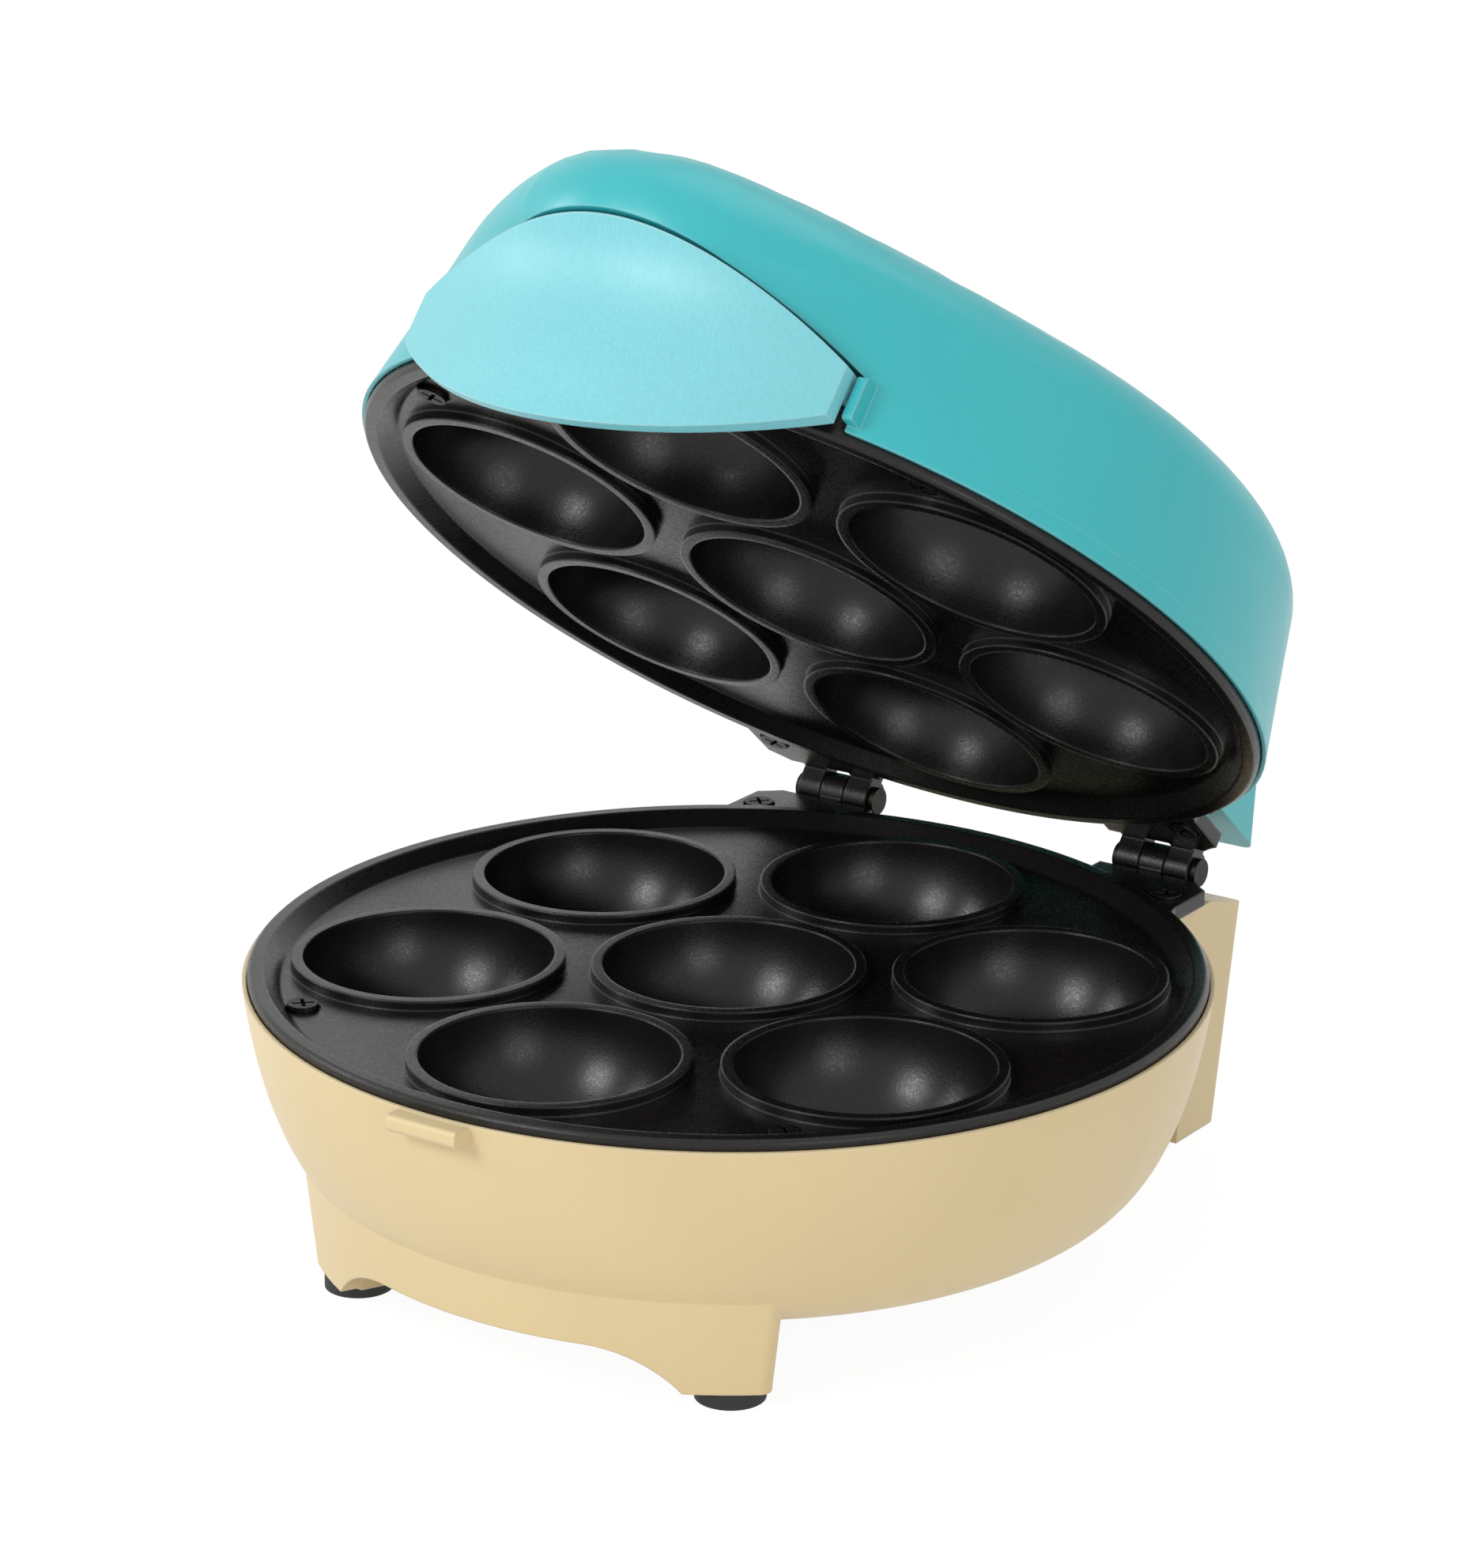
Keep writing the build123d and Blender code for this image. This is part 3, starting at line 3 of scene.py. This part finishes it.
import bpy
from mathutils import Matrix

bl_info = {
    "name": "Cake Pop Maker",
    "version": (1, 0, 0),
    "blender": (4, 5, 0),
    "location": "3D View > Sidebar > Cake Pop Maker",
    "description": "Finishes, lights and camera for a countertop cake pop maker",
    "category": "Object",
}

import math

import bmesh
import bpy
from bpy.props import FloatProperty, FloatVectorProperty, PointerProperty
from mathutils import Matrix, Vector

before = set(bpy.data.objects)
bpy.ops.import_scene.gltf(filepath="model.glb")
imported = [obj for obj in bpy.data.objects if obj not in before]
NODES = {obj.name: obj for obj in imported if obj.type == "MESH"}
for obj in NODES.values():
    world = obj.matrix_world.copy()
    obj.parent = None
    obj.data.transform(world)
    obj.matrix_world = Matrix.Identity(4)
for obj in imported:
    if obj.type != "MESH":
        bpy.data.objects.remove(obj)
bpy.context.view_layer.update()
MM = 0.001

# Real sizes of slow patterns. The fine grains are in the settings.
TONE_PATCH = 40 * MM  # drift of a moulding's colour
WIPED_PATCH = 9 * MM  # streaks that a cloth leaves on a moulding
SPRAY_PATCH = 16 * MM  # uneven passes of the coat's spray gun
WEAVE = 0.7 * MM  # pitch of a glass sleeve's braid
METAL_EDGE = 0.15 * MM  # radius that metal edges appear to have
RUBBER_EDGE = 0.6 * MM  # the same for rubber
RUBBER_DUST = 0.6 * MM  # specks of dust on the feet
LENS_CLOUD = 2.5 * MM  # drift of a lens's tint
LENS_GRAIN = 0.5 * MM  # faint frosting of a lens

# White surroundings.
FLOOR_HALF = 3  # metres from the middle to an edge
PAPER_WHITE = 0.86  # how much light the paper throws back
PAPER_GLOW = 1.05  # how bright the paper looks where no shadow falls
GLOW_SHARE = 0.9  # the rest is lit paper, which keeps the shadow
ROOM_LIGHT = 0.55  # light on the object from all round
ROOM_WHITE = 1.0  # how bright the room looks

# Soft lamps: name, place, width of the square and power in watts.
LAMPS = (
    ("key_light", (-0.35, -1.1, 0.8), 0.45, 7.2),
    ("side_light", (-1.15, -0.5, 0.6), 0.3, 3.6),
    ("fill_light", (1.0, -0.6, 0.3), 0.5, 2.6),
    ("top_light", (0.15, 0.35, 1.2), 0.9, 3),
)


def linear(hex_colour):
    """sRGB hex to a linear RGB triple."""
    channels = [int(hex_colour[i:i + 2], 16) / 255 for i in (1, 3, 5)]
    return tuple(c / 12.92 if c <= 0.04045 else ((c + 0.055) / 1.055) ** 2.4 for c in channels)


def colour_prop(name, description, hex_colour):
    """A colour setting whose default is an sRGB hex value."""
    return FloatVectorProperty(name=name, description=description, subtype="COLOR", size=3,
                               min=0, max=1, default=linear(hex_colour))


def size_prop(name, description, millimetres):
    """A length setting whose default is in millimetres."""
    return FloatProperty(name=name, description=description, subtype="DISTANCE", unit="LENGTH",
                         default=millimetres * MM, min=0.00001, max=1)


# ---------------------------------------------------------------- settings
class CakePopFinish(bpy.types.PropertyGroup):
    """Colours and grain sizes of the finishes.

    Real mould texture and spray droplets are about 0.1 mm. That is too fine to show, so each grain
    is drawn as coarse as it needs to be.
    """

    lid: colour_prop("Lid", "Moulded plastic of the lid", "#33B0B6")
    handle: colour_prop("Handle", "Moulded plastic of the latch handle", "#7CC9D2")
    base: colour_prop("Base", "Moulded plastic of the bowl and stand", "#D9C496")
    coat: colour_prop("Coat", "Non-stick coat of both plates", "#0C0A09")
    rubber: colour_prop("Feet", "Rubber of the feet", "#171718")
    steel: colour_prop("Steel", "Zinc-plated screws, pins and clamps", "#B4B5B2")
    black_steel: colour_prop("Black steel", "Blackened screws and pins of the plates", "#34322F")
    element: colour_prop("Elements", "Heat-darkened steel of the heating elements", "#6B655F")
    sheet: colour_prop("Heat shields", "Aluminised steel sheet", "#C9C9C5")
    nickel: colour_prop("Element pins", "Nickel-plated steel", "#C6C0B2")
    phenolic: colour_prop("Switches", "Moulded phenolic", "#2B2A2B")
    nylon: colour_prop("Terminals", "Moulded natural nylon", "#E6E1D4")
    sleeve: colour_prop("Wires", "Woven glass sleeve", "#D9D6CE")
    power_lens: colour_prop("Power lens", "Tinted polycarbonate of the power lamp", "#C8231C")
    ready_lens: colour_prop("Ready lens", "Tinted polycarbonate of the ready lamp", "#2EA24C")
    moulding_grain: size_prop("Moulding grain", "Spark-eroded texture of the moulds", 0.5)
    handle_grain: size_prop("Handle grain", "Brushed texture of the handle's mould", 0.6)
    coat_grain: size_prop("Coat grain", "Spray droplets in the non-stick coat", 0.36)
    switch_grain: size_prop("Switch grain", "Texture of the small mouldings inside", 0.8)
    soft_edge: size_prop("Soft edge", "Radius that moulded edges appear to have", 0.5)


class CakePopStage(bpy.types.PropertyGroup):
    """Where the camera stands and how far it looks."""

    azimuth: FloatProperty(name="Azimuth", description="Turn of the camera round the part",
                           subtype="ANGLE", default=math.radians(34.2))
    elevation: FloatProperty(name="Elevation", description="Height of the camera above level",
                             subtype="ANGLE", default=math.radians(18.52))
    roll: FloatProperty(name="Roll", description="Turn of the camera about its own line of sight",
                        subtype="ANGLE", default=math.radians(0.43))
    distance: size_prop("Distance", "Camera to the point it looks at", 969)
    focal: size_prop("Focal length", "Focal length on a 36 mm frame", 120.1)
    target: FloatVectorProperty(name="Target", description="Point the camera looks at",
                                subtype="XYZ", unit="LENGTH", size=3,
                                default=(2.65 * MM, -11.24 * MM, 90.65 * MM))


# ---------------------------------------------------------------- material helpers
def add_node(tree, kind, inputs=None, **settings):
    """Adds a node, sets it up and links or fills its sockets."""
    made = tree.nodes.new(kind)
    for name, value in settings.items():
        setattr(made, name, value)
    for socket, value in (inputs or {}).items():
        if isinstance(value, bpy.types.NodeSocket):
            tree.links.new(value, made.inputs[socket])
        else:
            made.inputs[socket].default_value = value
    return made


def blank_material(name):
    """A new material and its emptied node tree."""
    material = bpy.data.materials.new(name)
    material.use_nodes = True
    tree = material.node_tree
    tree.nodes.clear()
    return material, tree


def finish_material(tree, **sockets):
    """Closes a tree with the main shader; underscores in names stand for spaces."""
    named = {name.replace("_", " "): value for name, value in sockets.items()}
    shader = add_node(tree, "ShaderNodeBsdfPrincipled", named)
    add_node(tree, "ShaderNodeOutputMaterial", {"Surface": shader.outputs[0]})


def grain(tree, size, detail=2.0, stretch=(1, 1, 1)):
    """Noise whose blotches are `size` metres across, drawn out by `stretch`."""
    place = add_node(tree, "ShaderNodeTexCoord")
    drawn = add_node(tree, "ShaderNodeMapping", {"Vector": place.outputs["Object"],
                                                 "Scale": tuple(1 / along for along in stretch)})
    return add_node(tree, "ShaderNodeTexNoise", {"Vector": drawn.outputs[0], "Scale": 1 / size,
                                                 "Detail": detail, "Roughness": 0.55}).outputs[0]


def ramp(tree, value, low, high, start=0.3, end=0.7):
    """Spreads a 0 to 1 value between two numbers."""
    return add_node(tree, "ShaderNodeMapRange", {"Value": value, "From Min": start, "From Max": end,
                                                 "To Min": low, "To Max": high}).outputs[0]


def rounded_normal(tree, radius):
    """The surface's normal with its corners softened to a radius."""
    return add_node(tree, "ShaderNodeBevel", {"Radius": radius}, samples=6).outputs[0]


def corner_mask(tree, rounded):
    """1 on corners, where the softened normal leaves the true one, and 0 on flats."""
    flat = add_node(tree, "ShaderNodeNewGeometry")
    along = add_node(tree, "ShaderNodeVectorMath", {0: rounded, 1: flat.outputs["Normal"]},
                     operation="DOT_PRODUCT")
    return ramp(tree, along.outputs["Value"], 1, 0, 0.86, 0.995)


def bumped(tree, height, strength, depth, normal):
    """A normal tilted by a height pattern `depth` metres deep."""
    return add_node(tree, "ShaderNodeBump", {"Height": height, "Strength": strength,
                                             "Distance": depth, "Normal": normal}).outputs[0]


def blend_colours(tree, factor, first, second):
    """Mixes two colours by a factor; each is a triple or a socket."""
    mix = add_node(tree, "ShaderNodeMix", data_type="RGBA")
    tree.links.new(factor, mix.inputs[0])
    for socket, colour in ((mix.inputs[6], first), (mix.inputs[7], second)):
        if isinstance(colour, bpy.types.NodeSocket):
            tree.links.new(colour, socket)
        else:
            socket.default_value = (*colour, 1)
    return mix.outputs[2]


def shade(colour, amount):
    """The same colour, lighter or darker."""
    return tuple(min(1, c * amount) for c in colour)


def paler(colour, share):
    """The colour, moved a share of the way to white."""
    return tuple(c + share * (1 - c) for c in colour)


# ---------------------------------------------------------------- finishes
def moulded_abs(name, colour, grain_size, roughness, drawn=(1, 1, 1), depth=0.05, mottle=0.94):
    """Injection-moulded ABS: even colour, a soft sheen broken by the mould's fine spark texture.

    Corners are painted slightly paler: partly wear from handling, partly a painted edge highlight.
    The sheen wanders with wiping.
    """
    material, tree = blank_material(name)
    rounded = rounded_normal(tree, finish().soft_edge)
    fine = grain(tree, grain_size, 2.0, drawn)
    slow = grain(tree, TONE_PATCH, 1.0)
    wiped = grain(tree, WIPED_PATCH, 3.0, (1, 1, 4))
    tone = blend_colours(tree, ramp(tree, slow, 0, 1), shade(colour, 0.97), shade(colour, 1.03))
    speck = blend_colours(tree, ramp(tree, fine, 0, 0.5), tone, shade(colour, mottle))
    # Paler corners: partly wear from handling, partly a painted edge highlight.
    paler_corners = blend_colours(tree, corner_mask(tree, rounded), speck, paler(colour, 0.22))
    gloss = ramp(tree, wiped, roughness - 0.03, roughness + 0.04)
    finish_material(tree, Base_Color=paler_corners, Roughness=gloss, IOR=1.53,
                    Normal=bumped(tree, fine, 0.25, depth * MM, rounded))
    return material


def non_stick_coat(name, colour, grain_size):
    """Sprayed PTFE on cast aluminium: near black, satin, with the fine pebble of dried droplets.

    Mineral flakes in the spray are painted as bright specks in the colour, standing in for glints
    of light.
    Rims are painted a little paler: partly rubbed wear, partly a painted highlight.
    """
    material, tree = blank_material(name)
    rounded = rounded_normal(tree, finish().soft_edge * 1.6)
    droplets = grain(tree, grain_size, 3.0)
    patches = grain(tree, SPRAY_PATCH, 3.0)
    place = add_node(tree, "ShaderNodeTexCoord")
    glint_cells = add_node(tree, "ShaderNodeTexVoronoi", {"Vector": place.outputs["Object"],
                                                     "Scale": 0.8 / grain_size})
    lit = add_node(tree, "ShaderNodeSeparateColor", {"Color": glint_cells.outputs["Color"]})
    glint = ramp(tree, lit.outputs[0], 0, 1, 0.45, 1)
    tone = blend_colours(tree, ramp(tree, patches, 0, 1), shade(colour, 0.85), shade(colour, 1.25))
    # Bright specks: mineral flakes, painted bright as glints of light.
    flakes_and_glints = blend_colours(tree, glint, tone, shade(colour, 2.3))
    # Paler rims: partly rubbed wear, partly a painted highlight.
    paler_corners = blend_colours(tree, corner_mask(tree, rounded), flakes_and_glints, shade(colour, 1.8))
    gloss = add_node(tree, "ShaderNodeMath", {0: ramp(tree, patches, 0.24, 0.3),
                                              1: ramp(tree, glint, 0.03, -0.07, 0, 1)},
                     operation="ADD")
    finish_material(tree, Base_Color=paler_corners, Roughness=gloss.outputs[0], IOR=1.42,
                    Normal=bumped(tree, droplets, 0.45, 0.08 * MM, rounded))
    return material


def plated_steel(name, colour, roughness=0.34, scratch=0.8):
    """Plated or bare steel: a metal with fine drawing marks and duller patches.

    `scratch` is the width of a drawing mark in millimetres. Real marks are under 0.1 mm wide, and
    are drawn wider to show.
    """
    material, tree = blank_material(name)
    rounded = rounded_normal(tree, METAL_EDGE)
    marks = grain(tree, scratch * MM, 2.0, (1, 1, 5))
    tone = blend_colours(tree, ramp(tree, marks, 0, 1), shade(colour, 0.82), colour)
    paler_corners = blend_colours(tree, corner_mask(tree, rounded), tone, shade(colour, 1.25))
    gloss = ramp(tree, marks, roughness - 0.06, roughness + 0.1)
    finish_material(tree, Base_Color=paler_corners, Metallic=1.0, Roughness=gloss,
                    Normal=bumped(tree, marks, 0.2, 0.03 * MM, rounded))
    return material


def soft_rubber(name, colour):
    """Moulded rubber: black and dull, with a fine dusty grain and edges scuffed grey."""
    material, tree = blank_material(name)
    rounded = rounded_normal(tree, RUBBER_EDGE)
    dust = grain(tree, RUBBER_DUST, 3.0)
    tone = blend_colours(tree, ramp(tree, dust, 0, 1), colour, shade(colour, 1.8))
    scuffed = blend_colours(tree, corner_mask(tree, rounded), tone, shade(colour, 3.5))
    finish_material(tree, Base_Color=scuffed, Roughness=0.66, IOR=1.52,
                    Normal=bumped(tree, dust, 0.3, 0.1 * MM, rounded))
    return material


def braided_sleeve(name, colour):
    """Woven glass sleeve: pale and matt, with a fine cross weave."""
    material, tree = blank_material(name)
    place = add_node(tree, "ShaderNodeTexCoord")
    weave = add_node(tree, "ShaderNodeTexVoronoi", {"Vector": place.outputs["Object"],
                                                    "Scale": 1 / WEAVE}).outputs[0]
    tone = blend_colours(tree, ramp(tree, weave, 0, 1, 0.1, 0.6), colour, shade(colour, 0.7))
    plain = add_node(tree, "ShaderNodeNewGeometry")
    finish_material(tree, Base_Color=tone, Roughness=0.85,
                    Normal=bumped(tree, weave, 0.5, 0.1 * MM, plain.outputs["Normal"]))
    return material


def tinted_lens(name, colour):
    """Clear tinted polycarbonate over a lamp: glossy, half see-through."""
    material, tree = blank_material(name)
    cloud = grain(tree, LENS_CLOUD, 1.0)
    tone = blend_colours(tree, ramp(tree, cloud, 0, 1), colour, shade(colour, 0.75))
    rough = ramp(tree, grain(tree, LENS_GRAIN), 0.1, 0.18)
    finish_material(tree, Base_Color=tone, Roughness=rough, IOR=1.58, Transmission_Weight=0.35)
    return material


# ---------------------------------------------------------------- dressing
def dress(names, material):
    """Gives CAD nodes a material in place of the one they came with."""
    for name in names:
        mesh = NODES[name].data
        mesh.materials.clear()
        mesh.materials.append(material)


def finish():
    """The scene's finish settings."""
    return bpy.context.scene.cake_pop_finish


class CakePopPiece:
    """What the piece operators share."""

    bl_options = {"REGISTER", "UNDO"}


class CAKEPOP_OT_lid(CakePopPiece, bpy.types.Operator):
    """Finishes the lid shell and the box behind it in moulded plastic."""

    bl_idname = "cakepop.lid"
    bl_label = "Lid"

    def execute(self, context):
        dress(("lid_shell", "lid_rear_cover"),
              moulded_abs("moulded_abs_lid", finish().lid, finish().moulding_grain, 0.34))
        return {"FINISHED"}


class CAKEPOP_OT_handle(CakePopPiece, bpy.types.Operator):
    """Finishes the latch handle in paler, duller plastic."""

    bl_idname = "cakepop.handle"
    bl_label = "Latch Handle"

    def execute(self, context):
        dress(("latch_handle",),
              moulded_abs("brushed_abs_handle", finish().handle, finish().handle_grain, 0.44,
                          drawn=(1, 1, 5), depth=0.09, mottle=0.84))
        return {"FINISHED"}


class CAKEPOP_OT_base(CakePopPiece, bpy.types.Operator):
    """Finishes the bowl, the rear box, the bottom cover and the cord's gland."""

    bl_idname = "cakepop.base"
    bl_label = "Base Housings"

    def execute(self, context):
        dress(("base_housing", "rear_housing", "bottom_cover", "cord_gland"),
              moulded_abs("moulded_abs_base", finish().base, finish().moulding_grain, 0.4))
        return {"FINISHED"}


class CAKEPOP_OT_plates(CakePopPiece, bpy.types.Operator):
    """Coats both cooking plates."""

    bl_idname = "cakepop.plates"
    bl_label = "Cooking Plates"

    def execute(self, context):
        dress(("lower_plate", "upper_plate"),
              non_stick_coat("ptfe_coated_aluminium", finish().coat, finish().coat_grain))
        return {"FINISHED"}


class CAKEPOP_OT_feet(CakePopPiece, bpy.types.Operator):
    """Makes the four feet rubber."""

    bl_idname = "cakepop.feet"
    bl_label = "Rubber Feet"

    def execute(self, context):
        dress(("rubber_feet",), soft_rubber("moulded_rubber", finish().rubber))
        return {"FINISHED"}


class CAKEPOP_OT_fixings(CakePopPiece, bpy.types.Operator):
    """Plates the screws, clamps, hinge pins and rings."""

    bl_idname = "cakepop.fixings"
    bl_label = "Screws and Pins"

    def execute(self, context):
        dress(("lower_plate_screws", "upper_plate_screws", "hinge_pins", "pin_rings"),
              plated_steel("blackened_steel", finish().black_steel, 0.42))
        dress(("rear_housing_screws", "rear_cover_screws", "bottom_cover_screws",
               "lower_shield_screws", "upper_shield_screws", "lower_clamp_screws",
               "upper_clamp_screws", "switch_screws", "lower_element_clamps",
               "upper_element_clamps", "latch_pivot_pins"),
              plated_steel("zinc_plated_steel", finish().steel))
        return {"FINISHED"}


class CAKEPOP_OT_heating(CakePopPiece, bpy.types.Operator):
    """Finishes the heating elements, their pins and the heat shields."""

    bl_idname = "cakepop.heating"
    bl_label = "Heating"

    def execute(self, context):
        dress(("lower_heating_element", "upper_heating_element"),
              plated_steel("heat_darkened_steel", finish().element, 0.5))
        dress(("lower_heat_shield", "upper_heat_shield"),
              plated_steel("aluminised_sheet", finish().sheet, 0.3, 3))
        dress(("lower_element_pins", "upper_element_pins"),
              plated_steel("nickel_plated_steel", finish().nickel, 0.25))
        return {"FINISHED"}


class CAKEPOP_OT_wiring(CakePopPiece, bpy.types.Operator):
    """Finishes the switches, terminals, lamp holders and wires."""

    bl_idname = "cakepop.wiring"
    bl_label = "Wiring and Switches"

    def execute(self, context):
        dress(("thermostat", "thermal_cutout"),
              moulded_abs("moulded_phenolic", finish().phenolic, finish().switch_grain, 0.5))
        dress(("terminal_block", "lid_connector", "lamp_holders"),
              moulded_abs("moulded_nylon", finish().nylon, finish().switch_grain, 0.55))
        dress(("base_wiring", "lid_wiring"), braided_sleeve("woven_glass_sleeve", finish().sleeve))
        return {"FINISHED"}


class CAKEPOP_OT_lamps(CakePopPiece, bpy.types.Operator):
    """Tints the two lamp lenses."""

    bl_idname = "cakepop.lamps"
    bl_label = "Lamp Lenses"

    def execute(self, context):
        dress(("power_lamp_lens",), tinted_lens("tinted_polycarbonate_red", finish().power_lens))
        dress(("ready_lamp_lens",), tinted_lens("tinted_polycarbonate_green", finish().ready_lens))
        return {"FINISHED"}


# ---------------------------------------------------------------- stage
def look_matrix(position, target, roll=0.0):
    """A transform at `position` that looks at `target`."""
    turn = (target - position).to_track_quat("-Z", "Y").to_matrix().to_4x4()
    return Matrix.Translation(position) @ turn @ Matrix.Rotation(roll, 4, "Z")


def soft_light(name, position, target, width, power):
    """A large square lamp that faces the target."""
    lamp = bpy.data.lights.new(name, "AREA")
    lamp.shape = "SQUARE"
    lamp.size = width
    lamp.energy = power
    holder = bpy.data.objects.new(name, lamp)
    holder.matrix_world = look_matrix(Vector(position), target)
    bpy.context.scene.collection.objects.link(holder)


def seen_directly(tree):
    """1 for rays that show the background: straight, mirrored or through glass."""
    path = add_node(tree, "ShaderNodeLightPath").outputs
    mirrored = add_node(tree, "ShaderNodeMath", {0: path["Is Camera Ray"],
                                                 1: path["Is Glossy Ray"]}, operation="MAXIMUM")
    return add_node(tree, "ShaderNodeMath", {0: mirrored.outputs[0],
                                             1: path["Is Transmission Ray"]},
                    operation="MAXIMUM").outputs[0]


def add_floor(scene):
    """A sheet of white paper that keeps the object's shadow."""
    shape = bmesh.new()
    bmesh.ops.create_grid(shape, x_segments=1, y_segments=1, size=FLOOR_HALF)
    mesh = bpy.data.meshes.new("floor")
    shape.to_mesh(mesh)
    shape.free()
    floor = bpy.data.objects.new("floor", mesh)
    scene.collection.objects.link(floor)
    material, tree = blank_material("white_paper")
    paper = add_node(tree, "ShaderNodeBsdfDiffuse", {"Color": (*[PAPER_WHITE] * 3, 1)})
    glow = add_node(tree, "ShaderNodeEmission", {"Color": (1, 1, 1, 1), "Strength": PAPER_GLOW})
    share = add_node(tree, "ShaderNodeMath", {0: seen_directly(tree), 1: GLOW_SHARE},
                     operation="MULTIPLY")
    mixed = add_node(tree, "ShaderNodeMixShader", {0: share.outputs[0], 1: paper.outputs[0],
                                                   2: glow.outputs[0]})
    add_node(tree, "ShaderNodeOutputMaterial", {"Surface": mixed.outputs[0]})
    mesh.materials.append(material)


def add_surroundings(scene):
    """A world that looks white and lights the object at a plain level."""
    world = bpy.data.worlds.new("white_surroundings")
    world.use_nodes = True
    tree = world.node_tree
    tree.nodes.clear()
    strength = add_node(tree, "ShaderNodeMapRange", {"Value": seen_directly(tree),
                                                     "To Min": ROOM_LIGHT, "To Max": ROOM_WHITE})
    sky = add_node(tree, "ShaderNodeBackground", {"Color": (1, 1, 1, 1),
                                                  "Strength": strength.outputs[0]})
    add_node(tree, "ShaderNodeOutputWorld", {"Surface": sky.outputs[0]})
    scene.world = world


def add_camera(scene, stage, target):
    """A camera at the stage's distance and angles from the target."""
    lens = bpy.data.cameras.new("camera")
    lens.sensor_width = 36
    lens.lens = stage.focal / MM
    lens.clip_start = 0.01
    camera = bpy.data.objects.new("camera", lens)
    level = math.cos(stage.elevation)
    back = Vector((math.sin(stage.azimuth) * level, -math.cos(stage.azimuth) * level,
                   math.sin(stage.elevation)))
    camera.matrix_world = look_matrix(target + back * stage.distance, target, stage.roll)
    scene.collection.objects.link(camera)
    scene.camera = camera


class CAKEPOP_OT_stage(CakePopPiece, bpy.types.Operator):
    """Adds the floor, the lamps, the white surroundings and the camera."""

    bl_idname = "cakepop.stage"
    bl_label = "Stage"

    def execute(self, context):
        scene = context.scene
        stage = scene.cake_pop_stage
        target = Vector(stage.target)
        add_floor(scene)
        add_surroundings(scene)
        for name, place, width, power in LAMPS:
            soft_light(name, place, target, width, power)
        add_camera(scene, stage, target)
        scene.view_settings.view_transform = "Standard"
        return {"FINISHED"}


PIECES = (CAKEPOP_OT_lid, CAKEPOP_OT_handle, CAKEPOP_OT_base, CAKEPOP_OT_plates,
          CAKEPOP_OT_feet, CAKEPOP_OT_fixings, CAKEPOP_OT_heating, CAKEPOP_OT_wiring,
          CAKEPOP_OT_lamps, CAKEPOP_OT_stage)


class CAKEPOP_PT_panel(bpy.types.Panel):
    """Lists the pieces and their settings in the sidebar."""

    bl_idname = "CAKEPOP_PT_panel"
    bl_label = "Cake Pop Maker"
    bl_space_type = "VIEW_3D"
    bl_region_type = "UI"
    bl_category = "Cake Pop Maker"

    def draw(self, context):
        for settings in (context.scene.cake_pop_finish, context.scene.cake_pop_stage):
            box = self.layout.box()
            for name in settings.__annotations__:
                box.prop(settings, name)
        for piece in PIECES:
            self.layout.operator(piece.bl_idname)


CLASSES = (CakePopFinish, CakePopStage) + PIECES + (CAKEPOP_PT_panel,)


def register():
    for made in CLASSES:
        bpy.utils.register_class(made)
    bpy.types.Scene.cake_pop_finish = PointerProperty(type=CakePopFinish)
    bpy.types.Scene.cake_pop_stage = PointerProperty(type=CakePopStage)


def unregister():
    del bpy.types.Scene.cake_pop_stage
    del bpy.types.Scene.cake_pop_finish
    for made in reversed(CLASSES):
        bpy.utils.unregister_class(made)


def main():
    """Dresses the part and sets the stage."""
    register()
    for piece in PIECES:
        family, name = piece.bl_idname.split(".")
        getattr(getattr(bpy.ops, family), name)()


if __name__ == "__main__":
    main()
